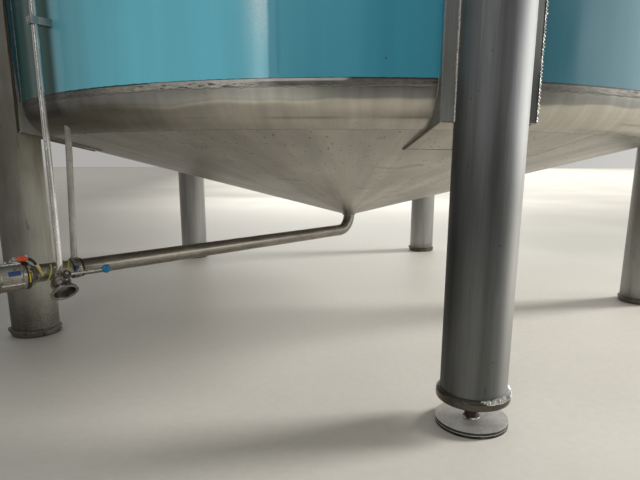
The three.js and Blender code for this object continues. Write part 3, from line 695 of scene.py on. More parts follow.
def lathe(profile, sides, closed=False):
    """A profile of [radius, height] turned about the axis. An end on the axis closes to a point."""
    profile = np.asarray(profile, float)
    angles = np.linspace(0, 2 * math.pi, sides, endpoint=False)
    ring = np.stack([np.cos(angles), np.sin(angles)], axis=1)
    body = profile
    first = last = None
    if not closed and profile[0, 0] < 1e-6:
        first, body = profile[0], body[1:]
    if not closed and profile[-1, 0] < 1e-6:
        last, body = profile[-1], body[:-1]
    points = np.empty((len(body), sides, 3))
    points[:, :, :2] = body[:, None, :1] * ring[None]
    points[:, :, 2] = body[:, 1][:, None]
    flat, faces = grid(points, close_rows=closed)
    extra = []
    for end, row in ((first, 0), (last, len(body) - 1)):
        if end is None:
            continue
        tip = len(flat) + len(extra)
        extra.append((0, 0, end[1]))
        for j in range(sides):
            pair = [row * sides + j, row * sides + (j + 1) % sides]
            faces.append([tip, *(pair if end is last else pair[::-1])])
    if extra:
        flat = np.concatenate([flat, np.array(extra, float)])
    if not closed and first is None:
        faces.append(list(range(sides))[::-1])
    if not closed and last is None:
        faces.append(list(range((len(body) - 1) * sides, len(body) * sides)))
    return flat, faces


def sweep(path, radius, sides):
    """A round bar along a path of points. The radius is one number or one for each point."""
    path = np.asarray(path, float)
    radius = np.broadcast_to(np.asarray(radius, float), (len(path),))
    along = np.gradient(path, axis=0)
    along /= np.linalg.norm(along, axis=1)[:, None]
    side = np.cross(along[0], (0.0, 0.0, 1.0))
    if np.linalg.norm(side) < 1e-3:
        side = np.cross(along[0], (0.0, 1.0, 0.0))
    angles = np.linspace(0, 2 * math.pi, sides, endpoint=False)
    rows = []
    for point, axis, reach in zip(path, along, radius):
        side = side - axis * (side @ axis)
        side /= np.linalg.norm(side)
        up = np.cross(axis, side)
        rows.append(point + reach * (np.cos(angles)[:, None] * side + np.sin(angles)[:, None] * up))
    points, faces = grid(np.array(rows))
    faces += [list(range(sides))[::-1], list(range((len(path) - 1) * sides, len(path) * sides))]
    return points, faces


def arc(start, corner, end, steps):
    """Points of a quarter bend that leaves the start towards the corner and arrives at the end."""
    start, corner, end = (np.asarray(p, float) for p in (start, corner, end))
    middle = start + end - corner
    t = np.linspace(0, math.pi / 2, steps + 1)[:, None]
    return middle + (start - middle) * np.cos(t) + (end - middle) * np.sin(t)


def smooth_line(points, count):
    """A smooth line through the corners of a coarse one."""
    points = np.asarray(points, float)
    padded = np.concatenate([[2 * points[0] - points[1]], points, [2 * points[-1] - points[-2]]])
    made = []
    for place in np.linspace(0, len(points) - 1, count):
        k = min(int(place), len(points) - 2)
        t = place - k
        a, b, c, d = padded[k:k + 4]
        square, cube = 2 * a - 5 * b + 4 * c - d, 3 * b - a - 3 * c + d
        made.append(0.5 * (2 * b + (c - a) * t + square * t * t + cube * t ** 3))
    return np.array(made)


def round_edges(made, edges, width, steps=2):
    bmesh.ops.bevel(made, geom=edges, offset=width, segments=steps, profile=0.5, affect="EDGES",
                    clamp_overlap=True)


def from_bmesh(made):
    made.verts.index_update()
    points = np.array([v.co[:] for v in made.verts])
    faces = [[v.index for v in f.verts] for f in made.faces]
    made.free()
    return points, faces


def slab(low, high, bevel, steps=2):
    """A box between two corners with rounded edges."""
    made = bmesh.new()
    bmesh.ops.create_cube(made, size=1)
    low, high = Vector(low), Vector(high)
    for v in made.verts:
        v.co = Vector([a + (b - a) * (c + 0.5) for a, b, c in zip(low, high, v.co)])
    round_edges(made, made.edges[:], bevel, steps)
    return from_bmesh(made)


def prism(outline, low, high, bevel):
    """A flat plate: an outline of [x, z] points, between y = low and y = high, with rounded edges."""
    made = bmesh.new()
    bottom = [made.verts.new((x, low, z)) for x, z in outline]
    top = [made.verts.new((x, high, z)) for x, z in outline]
    count = len(outline)
    made.faces.new(bottom)
    made.faces.new(top[::-1])
    rims = []
    for i in range(count):
        on = (i + 1) % count
        rims.append(made.faces.new((bottom[i], top[i], top[on], bottom[on])))
    round_edges(made, [e for e in made.edges if not all(face in rims for face in e.link_faces)], bevel)
    bmesh.ops.recalc_face_normals(made, faces=made.faces[:])
    return from_bmesh(made)


def waver(along, seed, waves=(0.35, 0.13, 0.055)):
    """A smooth random line between about -1 and 1."""
    random = np.random.default_rng(seed)
    total = np.zeros_like(along)
    for length in waves:
        scaled = along / (length * random.uniform(0.8, 1.25))
        total += np.sin(2 * math.pi * scaled + random.uniform(0, 6.28))
    return total / len(waves)


def bead(path, out, width, height, pitch, seed, across=6, density=3.0, ripple=0.24, taper=0.0):
    """A weld bead along a path: a low ridge with crescent ripples. out points away from the metal."""
    path = np.asarray(path, float)
    out = np.broadcast_to(np.asarray(out, float), path.shape)
    lengths = np.concatenate([[0], np.cumsum(np.linalg.norm(np.diff(path, axis=0), axis=1))])
    count = max(8, int(lengths[-1] / pitch * density))
    along = np.linspace(0, lengths[-1], count)
    line = np.stack([np.interp(along, lengths, path[:, k]) for k in range(3)], axis=1)
    up = np.stack([np.interp(along, lengths, out[:, k]) for k in range(3)], axis=1)
    up /= np.linalg.norm(up, axis=1)[:, None]
    tangent = np.gradient(line, axis=0)
    tangent /= np.linalg.norm(tangent, axis=1)[:, None]
    side = np.cross(tangent, up)
    side /= np.linalg.norm(side, axis=1)[:, None]
    u = np.linspace(-1, 1, across + 1)[None, :]
    wide = width / 2 * (1 + 0.16 * waver(along, seed))[:, None]
    high = height * (1 + 0.18 * waver(along, seed + 1))[:, None]
    if taper > 0:
        ends = np.clip(np.minimum(along, lengths[-1] - along) / taper, 0, 1)[:, None]
        wide, high = wide * (0.25 + 0.75 * ends), high * (0.1 + 0.9 * ends)
    shift = 0.10 * width * waver(along, seed + 2)[:, None]
    phase = 2 * math.pi * along[:, None] / pitch + 0.9 * waver(along, seed + 3, (0.02, 0.009))[:, None]
    ridge = np.sqrt(np.clip(1 - u * u, 0, 1)) * (1 + ripple * np.cos(phase + 1.8 * u * u))
    sideways = (u * wide + shift)[..., None] * side[:, None, :]
    upwards = (high * ridge - 0.15 * height)[..., None] * up[:, None, :]
    return grid(line[:, None, :] + sideways + upwards, close_columns=False)


def ring_path(radius, height, count, start=0.0, end=2 * math.pi):
    angles = np.linspace(start, end, count)
    return np.stack([radius * np.cos(angles), radius * np.sin(angles), np.full(count, height)], axis=1)


def moved(shape, matrix):
    points, faces = shape
    turn = np.array(matrix)
    return points @ turn[:3, :3].T + turn[:3, 3], faces


def pointing(direction, at=(0, 0, 0)):
    """A matrix that turns +Z to a direction and moves to a point."""
    turn = Vector((0, 0, 1)).rotation_difference(Vector(direction).normalized()).to_matrix().to_4x4()
    return Matrix.Translation(at) @ turn


def normals_of(points, faces):
    """One normal for each face, from its first three corners."""
    corners = np.array([[points[f[0]], points[f[1]], points[f[2]]] for f in faces])
    out = np.cross(corners[:, 1] - corners[:, 0], corners[:, 2] - corners[:, 0])
    return out / np.maximum(np.linalg.norm(out, axis=1), 1e-12)[:, None]


class Shape:
    """The parts of one piece, each with the number of its material."""

    def __init__(self):
        self.points, self.faces, self.kinds, self.count = [], [], [], 0

    def add(self, shape, kind=0, place=None):
        points, faces = shape if place is None else moved(shape, place)
        start = self.count
        self.points.append(np.asarray(points, float))
        self.faces.extend([[start + i for i in face] for face in faces])
        self.kinds.extend([kind] * len(faces))
        self.count += len(points)
        return self

    def add_bolt(self, place, kind, radius, head, washer=0.0015):
        """A hexagon head on a washer, standing on the place."""
        wide, narrow, tall = radius * 1.5, radius * 1.45, washer + head
        ring = [(0, 0), (narrow, 0), (wide, washer * 0.5), (narrow, washer), (0, washer)]
        self.add(lathe(ring, 20), kind, place)
        wide, narrow = radius * 1.12, radius * 0.95
        head = [(0, washer), (wide, washer), (wide, tall * 0.9), (narrow, tall), (0, tall)]
        self.add(lathe(head, 6), kind, place)

    def add_by_side(self, shape, side, least, kind, other):
        """Adds a shape whose faces towards one side have a material of their own."""
        towards_side = normals_of(*shape) @ np.asarray(side, float) > least
        self.add(shape, other)
        self.kinds[-len(towards_side):] = [kind if near else other for near in towards_side]

    def piece(self, name, materials, slot, nodes=(), place=TANK_PLACE, body="tank", sharp=38):
        """Makes the object, on its body, and in place of the nodes that it replaces. The slot is not used.
        """
        mesh = bpy.data.meshes.new(name)
        mesh.from_pydata(np.concatenate(self.points).tolist(), [], self.faces)
        for material in materials:
            mesh.materials.append(material)
        mesh.polygons.foreach_set("material_index", self.kinds)
        mesh.validate()
        mesh.shade_smooth()
        mesh.set_sharp_from_angle(angle=math.radians(sharp))
        made = bpy.data.objects.new(name, mesh)
        bpy.context.scene.collection.objects.link(made)
        made.matrix_world = place
        bpy.context.view_layer.update()
        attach(made, body)
        if nodes:
            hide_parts(*nodes)


teal = [shell_look(course) for course in range(COURSES)]
knuckle_steel = knuckle_look("knuckle_steel", SEAM, -1)
roof_knuckle_steel = knuckle_look("roof_knuckle_steel", ROOF, 1)
cone_steel = cone_look("cone_steel", [0, math.radians(120), math.radians(240)])
roof_steel = cone_look("roof_steel", [0, math.radians(90), math.radians(180), math.radians(270)])
# Each leg has its own tone as painted light: the two back legs are lighter, the front leg has painted shade
# and highlights, the left leg painted shade on one side
leg_steels = [
    upright_look("leg_steel_1", (0.335, 0.35, 0.355), (0.24, 0.215, 0.18), 0.42, 0.4, 0.25, 0.6, low=0.70,
                 front=True),
    upright_look("leg_steel_2", (0.36, 0.365, 0.35), (0.26, 0.22, 0.17), 0.40, 1.7, 0.4, 0.5, 0.10),
    upright_look("leg_steel_3", (0.46, 0.465, 0.45), (0.30, 0.28, 0.24), 0.40, 3.4, 0.3, 0.5, 0.10),
    upright_look("leg_steel_4", (0.48, 0.485, 0.475), (0.30, 0.28, 0.24), 0.40, 5.1, 0.3, 0.5, 0.10),
    upright_look("leg_steel_5", (0.40, 0.395, 0.35), (0.22, 0.20, 0.15), 0.46, 6.8, 0.7, 0.5, 0.26,
                 metal=0.7, dark_at=math.radians(42)),
]
# Side plates are darker than face plates, as painted shade. The paint over each bracket has the painted
# light of the shell beside it: full on the front bracket and its side plates, the shell's shaded tone on
# the other face plates and darker on their side plates
plate_colours = [(0.48, 0.50, 0.495), (0.28, 0.24, 0.19)]
cheek_colours = [(0.34, 0.335, 0.31), (0.20, 0.18, 0.13)]
bracket_steel = upright_look("bracket_steel", *plate_colours, 0.38, 9.0, paint=PLATE_TONE)
lug_steel = upright_look("lug_steel", *plate_colours, 0.40, 9.0)
front_bracket_steel = upright_look("front_bracket_steel", *plate_colours, 0.38, 9.0, paint=1.0,
                                   dark_from=0.098)
cheek_steel = upright_look("cheek_steel", *cheek_colours, 0.45, 12.0, paint=0.2)
front_cheek_steel = upright_look("front_cheek_steel", *cheek_colours, 0.45, 12.0, paint=1.0)
# Dark steel for edges and welds in painted shade
shaded_edge = steel_look("shaded_edge", (0.10, 0.09, 0.065), 0.5, (0.04, 0.035, 0.025), 0.6)
plate_steel = steel_look("end_plate_steel", (0.105, 0.096, 0.082), 0.30, (0.05, 0.035, 0.025), 0.6)
dirty_steel = steel_look("dirty_end_plate_steel", (0.17, 0.16, 0.135), 0.5, (0.05, 0.045, 0.035), 0.8)
foot_steel = steel_look("foot_steel", (0.88, 0.875, 0.86), 0.55, (0.50, 0.49, 0.46), 0.25)
pad_steel = steel_look("pad_steel", (0.045, 0.042, 0.036), 0.5, (0.26, 0.245, 0.21), 0.5)
spindle_steel = steel_look("spindle_steel", (0.10, 0.075, 0.06), 0.40, (0.05, 0.03, 0.02), 0.7)
edge_steel = steel_look("foot_edge_steel", (0.08, 0.075, 0.065), 0.42, (0.03, 0.026, 0.022), 0.7)
pipe_steel = steel_look("pipe_steel", (0.30, 0.28, 0.245), 0.33, (0.15, 0.12, 0.09), 0.4, 1.0, (0.15, 1, 1))
tube_steel = steel_look("tube_steel", (0.96, 0.95, 0.92), 0.24, (0.62, 0.60, 0.55), 0.18, 0.7, (1, 1, 0.1),
                        0.15)
valve_steel = steel_look("valve_steel", (0.33, 0.31, 0.275), 0.27, (0.09, 0.075, 0.055), 0.75, 2.0)
hub_steel = steel_look("hub_steel", (0.12, 0.11, 0.10), 0.38, (0.04, 0.035, 0.03), 0.7, 2.0)
clip_steel = steel_look("clip_steel", (0.50, 0.50, 0.49), 0.42, (0.25, 0.24, 0.22), 0.4)
vent_steel = steel_look("vent_steel", (0.48, 0.47, 0.44), 0.34, (0.22, 0.20, 0.17), 0.4)
lid_steel = steel_look("lid_steel", (0.44, 0.42, 0.385), 0.33, (0.20, 0.17, 0.14), 0.35)
bright_weld = weld_look("bright_weld", (0.88, 0.87, 0.84), 0.25)
dull_weld = weld_look("dull_weld", (0.33, 0.32, 0.30), 0.6)
bolt_steel = steel_look("bolt_steel", (0.60, 0.59, 0.56), 0.26, (0.15, 0.13, 0.10), 0.5, 3.0)
orange = plastic_look("orange_grip", (0.62, 0.085, 0.018))
yellow = plastic_look("yellow_sleeve", (0.62, 0.43, 0.02))
blue = plastic_look("blue_knob", (0.012, 0.16, 0.34), 0.3, 0.2)
label_blue = plastic_look("bare_blue_plate", (0.010, 0.045, 0.15), 0.4, 0.3)
black = plastic_look("black_rubber", (0.022, 0.022, 0.022), 0.55, 0.2)
green = plastic_look("green_yellow_strap", (0.42, 0.48, 0.03), 0.5, 0.3)
hanger_steel = steel_look("hanger_steel", (0.60, 0.585, 0.55), 0.55, (0.28, 0.26, 0.22), 0.4)


# Shell and dishes


def hoop(section, sides, radius=0.001):
    """A closed section of [radius, height], with its corners rounded, turned about the axis."""
    return lathe(rounded(section + section[:1], radius)[:-1], sides, closed=True)


def ring_weld(radius, height, lean, count, *sizes, span=()):
    """A weld round the axis. lean is the way it faces, as [outwards, upwards]."""
    return bead(ring_path(radius, height, count, *span), ring_path(*lean, count, *span), *sizes)


def middles(count):
    """Angles in the middle of each of count equal parts of a turn."""
    return [2 * math.pi * (k + 0.5) / count for k in range(count)]


def knuckle_line(dish, offset, steps=26):
    """The rolled edge of a dish from the shell to the cone, as [radius, height]."""
    up, base, slope = dish
    reach, centre = KNUCKLE + offset, SHELL - KNUCKLE
    angles = np.linspace(0, math.pi / 2 - slope, steps + 1)
    line = np.stack([centre + reach * np.cos(angles), base + up * (FLANGE + reach * np.sin(angles))],
                    axis=1)
    return np.concatenate([[[centre + reach, base]], line])


def cone_line(dish, offset, hole, rows=14):
    up, _, slope = dish
    r, z = knuckle_line(dish, offset)[-1]
    radii = np.linspace(r, hole, rows + 1)
    return np.stack([radii, z + up * (r - radii) * math.tan(slope)], axis=1)


def tank_line():
    """The outside of the bottom from the shell to the axis, as [radius, height]."""
    knuckle, cone = knuckle_line(BOTTOM_DISH, 0, 40), cone_line(BOTTOM_DISH, 0, 0.0)
    return np.concatenate([[[SHELL, BRACKET_TOP]], knuckle, cone[1:]])


def roof_at(radius):
    r, z = cone_line(ROOF_DISH, 0, 0.0)[0]
    return z + (r - radius) * math.tan(ROOF_SLOPE)


def turned_plate(name, steel, slot, line):
    """A plate turned about the axis. line gives its profile at an offset from the outside."""
    profile = np.concatenate([line(0), line(-PLATE)[::-1]])
    Shape().add(lathe(profile, 288, closed=True)).piece(f"{name}_plate", [steel], slot, [name])


def shell_course(course):
    """One painted ring with its upright welds, and the weld between it and the ring below."""
    name, low = f"shell_course_{course + 1}", SEAM + COURSE * course
    heights = np.linspace(low, low + COURSE, 7)

    def line(offset):
        return np.stack([np.full(len(heights), SHELL + offset), heights], axis=1)

    turned_plate(name, teal[course], "shell_paint", line)
    seams = Shape()
    if course:
        seams.add(ring_weld(SHELL, low, (1, 0), 720, 0.012, 0.0016, 0.009, 20 + course, 4, 2.6, 0.14))
    for turn in range(PLATES_ROUND):
        angle = math.radians(10 + PLATES_TURN * course + 360 / PLATES_ROUND * turn)
        out = (math.cos(angle), math.sin(angle), 0)
        path = [(SHELL * out[0], SHELL * out[1], z) for z in (low + 0.012, low + COURSE - 0.012)]
        seams.add(bead(path, out, 0.011, 0.0015, 0.009, 40 + 3 * course + turn, 4, 2.6, 0.14))
    seams.piece(f"{name}_welds", [teal[course]], "shell_paint")


def dished_end(name, dish, hole, knuckle, cone):
    """The rolled knuckle and the cone of one end of the tank."""
    turned_plate(f"{name}_knuckle", knuckle, "rolled_steel", lambda offset: knuckle_line(dish, offset))
    turned_plate(f"{name}_cone", cone, "cone_steel", lambda offset: cone_line(dish, offset, hole))


def bottom_welds():
    """The weld between knuckle and cone, and the one round the outlet."""
    tangent = cone_line(BOTTOM_DISH, 0, DRAIN)[0]
    lean = (math.sin(BOTTOM_SLOPE), -math.cos(BOTTOM_SLOPE))
    weld = Shape().add(ring_weld(*tangent, lean, 720, 0.006, 0.0007, 0.008, 5, 4, 2.6, 0.2))
    weld.piece("bottom_knuckle_weld", [dull_weld], "cone_steel")
    low = cone_line(BOTTOM_DISH, 0, DRAIN)[-1][1] - 0.001
    outlet = Shape().add(ring_weld(DRAIN + 0.004, low, (0.5, -0.8), 90, 0.010, 0.004, 0.005, 6))
    outlet.piece("bottom_outlet_weld", [dull_weld], "cone_steel")


for course in range(COURSES):
    shell_course(course)
dished_end("bottom", BOTTOM_DISH, DRAIN + 0.0004, knuckle_steel, cone_steel)
bottom_welds()
dished_end("roof", ROOF_DISH, MANWAY, roof_knuckle_steel, roof_steel)


# Manway, vent and lifting lugs


def manway_neck(low, top):
    bore, wall = MANWAY - 0.005, MANWAY - 0.0004
    section = [(bore, low - 0.030), (wall, low - 0.030), (wall, top - 0.010),
               (MANWAY_RIM, top - 0.010, 0.002), (MANWAY_RIM, top, 0.002), (bore, top)]
    neck = Shape().add(hoop(section, 144))
    neck.add(ring_weld(MANWAY + 0.0015, low + 0.002, FILLET, 260, 0.009, 0.004, 0.006, 71), 1)
    neck.piece("manway_neck_ring", [lid_steel, dull_weld], "cone_steel", ["manway_neck"])


def manway_lid(seat):
    """A dished lid with a ring of bolts and a grip."""
    over = rounded([(MANWAY_RIM, seat), (MANWAY_RIM, seat + 0.014, 0.003), (0.235, seat + 0.014, 0.02),
                    (0.135, seat + 0.050, 0.06), (0.0, seat + 0.065)], 0.002, 8)
    under = rounded([(0.0, seat + 0.055), (0.135, seat + 0.040, 0.06), (0.230, seat, 0.02),
                     (MANWAY_RIM, seat)], 0.002, 8)
    lid = Shape().add(lathe(np.concatenate([over, under[:-1]]), 144))
    for angle in middles(MANWAY_BOLTS):
        at = (MANWAY_BOLT_CIRCLE * math.cos(angle), MANWAY_BOLT_CIRCLE * math.sin(angle), seat + 0.0135)
        lid.add_bolt(Matrix.Translation(at), 1, 0.0065, 0.008)
    side, low, high = 0.06, seat + 0.052, seat + 0.10
    half = np.concatenate([[(side, 0, low)],
                           arc((side, 0, low + 0.01), (side, 0, high), (side / 2, 0, high), 8)])
    lid.add(sweep(np.concatenate([half, half[::-1] * (-1, 1, 1)]), 0.006, 16), 1)
    lid.piece("manway_lid_dish", [lid_steel, bolt_steel], "cone_steel", ["manway_lid"])


def vent():
    x, y = VENT_REACH * math.cos(VENT_AZIMUTH), VENT_REACH * math.sin(VENT_AZIMUTH)
    foot = roof_at(VENT_REACH)
    profile = rounded([(0, -0.012), (VENT, -0.012), (VENT, 0.206), (0.094, 0.188), (0.095, 0.206, 0.002),
                       (VENT, 0.227, 0.02), (0, 0.230)], 0.001)
    made = Shape().add(lathe(profile, 96))
    ring = ring_path(VENT + 0.0015, 0, 120)
    ring[:, 2] = [roof_at(math.hypot(x + p[0], y + p[1])) - foot + 0.002 for p in ring]
    made.add(bead(ring, ring_path(*FILLET, 120), 0.008, 0.004, 0.005, 72), 1)
    place = TANK_PLACE @ Matrix.Translation((x, y, foot))
    made.piece("roof_vent_cowl", [vent_steel, dull_weld], "tube_steel", ["roof_vent"], place)


def holed_plate(outer, inner, half, edge):
    """An upright plate with a hole, from two outlines of [across, height], with rounded edges."""
    made = bmesh.new()
    edges = []
    for loop in (outer, inner):
        verts = [made.verts.new((x, -half, z)) for x, z in loop]
        edges += [made.edges.new((verts[i], verts[(i + 1) % len(verts)])) for i in range(len(verts))]
    bmesh.ops.triangle_fill(made, use_beauty=True, edges=edges)
    pushed = bmesh.ops.extrude_face_region(made, geom=made.faces[:])
    for item in pushed["geom"]:
        if isinstance(item, bmesh.types.BMVert):
            item.co.y = half
    bmesh.ops.recalc_face_normals(made, faces=made.faces[:])
    rims = [e for e in made.edges if len(e.link_faces) == 2 and e.calc_face_angle(0) > 1.2]
    round_edges(made, rims, edge)
    return from_bmesh(made)


def lifting_lug(index):
    """A plate with a round head and an eye, welded to the roof on both sides."""
    name = f"lifting_lug_{index + 1}"
    turn = Matrix.Rotation(LUG_AZIMUTHS[index], 4, "Z")
    place = TANK_PLACE @ turn @ Matrix.Translation((LUG_CIRCLE, 0, 0))
    eye = roof_at(LUG_CIRCLE) + LUG_HEIGHT - LUG_HALF

    def curve(radius, angles):
        return [(radius * math.cos(t), eye + radius * math.sin(t)) for t in angles]

    outer = [(LUG_HALF, roof_at(LUG_CIRCLE + LUG_HALF) - 0.003), (LUG_HALF, eye)]
    outer += curve(LUG_HALF, np.linspace(0, math.pi, 40)[1:-1])
    outer += [(-LUG_HALF, eye), (-LUG_HALF, roof_at(LUG_CIRCLE - LUG_HALF) - 0.003)]
    inner = curve(LUG_EYE, np.linspace(0, 2 * math.pi, 48, endpoint=False))
    lug = Shape().add(holed_plate(outer, inner, 0.010, 0.0012))
    for side in (-1, 1):
        path = [(x, side * 0.011, roof_at(LUG_CIRCLE + x) + 0.002) for x in np.linspace(-0.062, 0.062, 30)]
        lug.add(bead(path, (0, side * 0.7, 0.7), 0.009, 0.004, 0.006, 73 + index + side), 1)
    lug.piece(f"{name}_plate", [lug_steel, dull_weld], "bracket_steel", [name], place)


manway_neck(roof_at(MANWAY), roof_at(MANWAY) + MANWAY_HEIGHT)
manway_lid(roof_at(MANWAY) + MANWAY_HEIGHT + 0.0003)
vent()
for index in range(len(LUG_AZIMUTHS)):
    lifting_lug(index)


# Legs


def leg_pipe(index):
    """A pipe that is whole up to the bracket, and a half pipe with a sloping head above."""
    name, place = f"leg_{index + 1}", leg_place(index)
    bottom = END_PLATE_BOTTOMS[index] + END_PLATE_THICKNESS + 0.0003
    middle = BRACKET_BOTTOM - 0.0015
    rows, sides, sides_above = 12, 128, 76
    angles = np.linspace(0, 2 * math.pi, sides, endpoint=False)
    heights = np.linspace(bottom, middle, rows)
    lines = [[(LEG * math.cos(a), LEG * math.sin(a), z) for a in angles] for z in heights]
    points, faces = grid(lines)
    faces += [list(range(sides))[::-1], list(range((rows - 1) * sides, rows * sides))]
    made = Shape().add((points, faces))
    reach = math.acos(BRACKET_FACE / LEG)
    lines = []
    for share in np.linspace(0, 1, rows):
        line = []
        for a in np.linspace(-reach, reach, sides_above):
            x = LEG * math.cos(a)
            head = LEG_TOP - (x - BRACKET_FACE) * LEG_TOP_SLOPE
            line.append((x, LEG * math.sin(a), middle + (head - middle) * share))
        lines.append(line)
    points, faces = grid(lines, close_columns=False)
    faces.append(list(range((rows - 1) * sides_above, rows * sides_above)))
    made.add((points, faces))
    side = math.sin(reach) * LEG
    for sign in (-1, 1):
        path = [(BRACKET_FACE + 0.002, sign * (side + 0.001), z) for z in (BRACKET_BOTTOM, LEG_TOP - 0.004)]
        weld = bead(path, (0.55, sign * 0.83, 0), 0.0105, 0.0042, 0.0055, 100 + 7 * index + sign)
        # Bright welds on the front leg, dark ones on the others: painted light and shade
        made.add(weld, 1 if index == 0 else 2)
    over = [(BRACKET_FACE + 0.001, y, LEG_TOP + 0.001) for y in np.linspace(-side, side, 30)]
    made.add(bead(over, (0.7, 0, 0.7), 0.009, 0.004, 0.006, 103 + index), 1)
    made.piece(f"{name}_pipe", [leg_steels[index], bright_weld, shaded_edge], "leg_steel", [name], place)


def cheek_line(across):
    """Where an upright plane beside the leg meets the tank, in the leg's frame."""
    line = [(math.sqrt(r * r - across * across) - LEG_CIRCLE, z) for r, z in tank_line() if r > GUSSET_TIP]
    r, z = cone_line(BOTTOM_DISH, 0, 0.0)[0]
    tip = z - (r - GUSSET_TIP) * math.tan(BOTTOM_SLOPE)
    return line + [(math.sqrt(GUSSET_TIP ** 2 - across * across) - LEG_CIRCLE, tip)]


def bracket_side(made, index, sign):
    """A side plate, its weld to the tank and the run of weld along the face plate."""
    near, far = sorted((sign * BRACKET_HALF, sign * (BRACKET_HALF - BRACKET_PLATE)))
    back = BRACKET_FACE - BRACKET_PLATE
    line = cheek_line(BRACKET_HALF - BRACKET_PLATE / 2)
    tip_x, tip_z = line[-1]
    outline = line + [(tip_x, tip_z - 0.006), (back, BRACKET_BOTTOM + 0.002), (back, BRACKET_TOP)]
    # Faces of the side plate that look down get the dark edge steel, as painted shade
    made.add_by_side(prism(outline, near, far, 0.0012), (0, 0, -1), 0.35, 3, 4)
    seat = cheek_line(BRACKET_HALF)
    path = [(x, sign * (BRACKET_HALF + 0.001), z) for x, z in seat]
    path[0] = (path[0][0], path[0][1], BRACKET_TOP - 0.004)
    outs = []
    for (x0, z0), (x1, z1) in zip(seat, seat[1:] + [seat[-1]]):
        step = np.array([x1 - x0, z1 - z0])
        if not step.any():
            step = np.array([-1.0, -math.tan(BOTTOM_SLOPE)])
        step = step / np.linalg.norm(step)
        outs.append((-step[1] * 0.6, sign * 0.8, step[0] * 0.6))
    made.add(bead(path, outs, 0.008, 0.0030, 0.0055, 130 + 9 * index + sign), 1 if sign > 0 else 4)
    heights = (BRACKET_BOTTOM + 0.004, BRACKET_TOP - 0.004)
    edge = [(BRACKET_FACE - 0.003, sign * (BRACKET_HALF + 0.0004), z) for z in heights]
    wide, tall, kind = 0.0085, 0.0018, 3 if index == 4 else 0
    # On the front bracket the weld on the lit side is bright, as painted highlight
    if index == 0 and sign > 0:
        wide, tall, kind = 0.0105, 0.0052, 2
    made.add(bead(edge, (0.35, sign * 0.94, 0), wide, tall, 0.0105, 135 + 9 * index + sign, 6, 5.0, 0.5),
             kind)


def bracket(index):
    """Face plate and top plate, two side plates that reach under the cone, and their welds."""
    name, place = f"leg_{index + 1}_bracket", leg_place(index)
    if index == 0:
        place = place @ Matrix.Translation((0, FRONT_BRACKET_SHIFT, 0))
    back = BRACKET_FACE - BRACKET_PLATE
    made = Shape()
    made.add(slab((back, -BRACKET_HALF, BRACKET_BOTTOM), (BRACKET_FACE, BRACKET_HALF, BRACKET_TOP), 0.0015))
    half = BRACKET_HALF - 0.011
    inner = [(math.sqrt(SHELL ** 2 - y * y) - LEG_CIRCLE, y) for y in np.linspace(-half, half, 24)]
    points, faces = prism([(back, -half), (back, half)] + inner[::-1], 0, BRACKET_PLATE, 0.0008)
    lifted = BRACKET_TOP - BRACKET_PLATE + points[:, 1]
    made.add((np.stack([points[:, 0], points[:, 2], lifted], axis=1), faces))
    for sign in (-1, 1):
        bracket_side(made, index, sign)
    half = BRACKET_HALF - 0.003
    rim = [(BRACKET_FACE - 0.002, y, BRACKET_BOTTOM - 0.0002) for y in np.linspace(-half, half, 30)]
    made.add(bead(rim, (0.55, 0, -0.83), 0.0060, 0.0014, 0.008, 149 + index, 4), 1)
    # A dark bead under the gusset tips: a weld with a painted shadow line
    x, z = cheek_line(BRACKET_HALF)[-1]
    x, half = x - 0.004, BRACKET_HALF - 0.002
    path = []
    for y in np.linspace(-half, half, 24):
        inside = GUSSET_TIP - math.hypot(x + LEG_CIRCLE, y)
        path.append((x, y, z - inside * math.tan(BOTTOM_SLOPE) + 0.0002))
    made.add(bead(path, (0.25, 0, -0.97), 0.0045, 0.0012, 0.006, 139 + index, 4), 3)
    face = front_bracket_steel if index == 0 else bracket_steel
    cheek = front_cheek_steel if index == 0 else cheek_steel
    made.piece(f"{name}_plates", [face, dull_weld, bright_weld, shaded_edge, cheek], "bracket_steel", [name],
               place)


def end_plate(index):
    name, place = f"leg_{index + 1}_end_plate", leg_place(index)
    bottom, edge = END_PLATE_BOTTOMS[index], END_PLATES[index]
    top = bottom + END_PLATE_THICKNESS
    profile = rounded([(0, bottom), (edge, bottom, 0.011), (edge, top + 0.003, 0.013),
                       (LEG + 0.0006, top + 0.010), (LEG - 0.006, top + 0.004), (0, top - 0.001)], 0.003, 7)
    made = Shape().add(lathe(profile, 144))
    # On the front leg the weld is bright over the lit side, as painted highlight, and low and
    # plate-coloured round the rest
    for start, end, wide, tall, kind in ((-0.30, 2.1, 0.0220, 0.0085, 1), (1.7, 6.2, 0.015, 0.0020, 0)):
        weld = ring_weld(LEG + 0.005, top + 0.005, (0.72, 0.68), 200, wide, tall, 0.0085,
                         160 + index + kind, 8, 5.0, 0.34, 0.028, span=(start, end))
        made.add(weld, kind)
    metals = [plate_steel, bright_weld] if index == 0 else [dirty_steel, dirty_steel]
    made.piece(f"{name}_disc", metals, "leg_steel", [name], place)


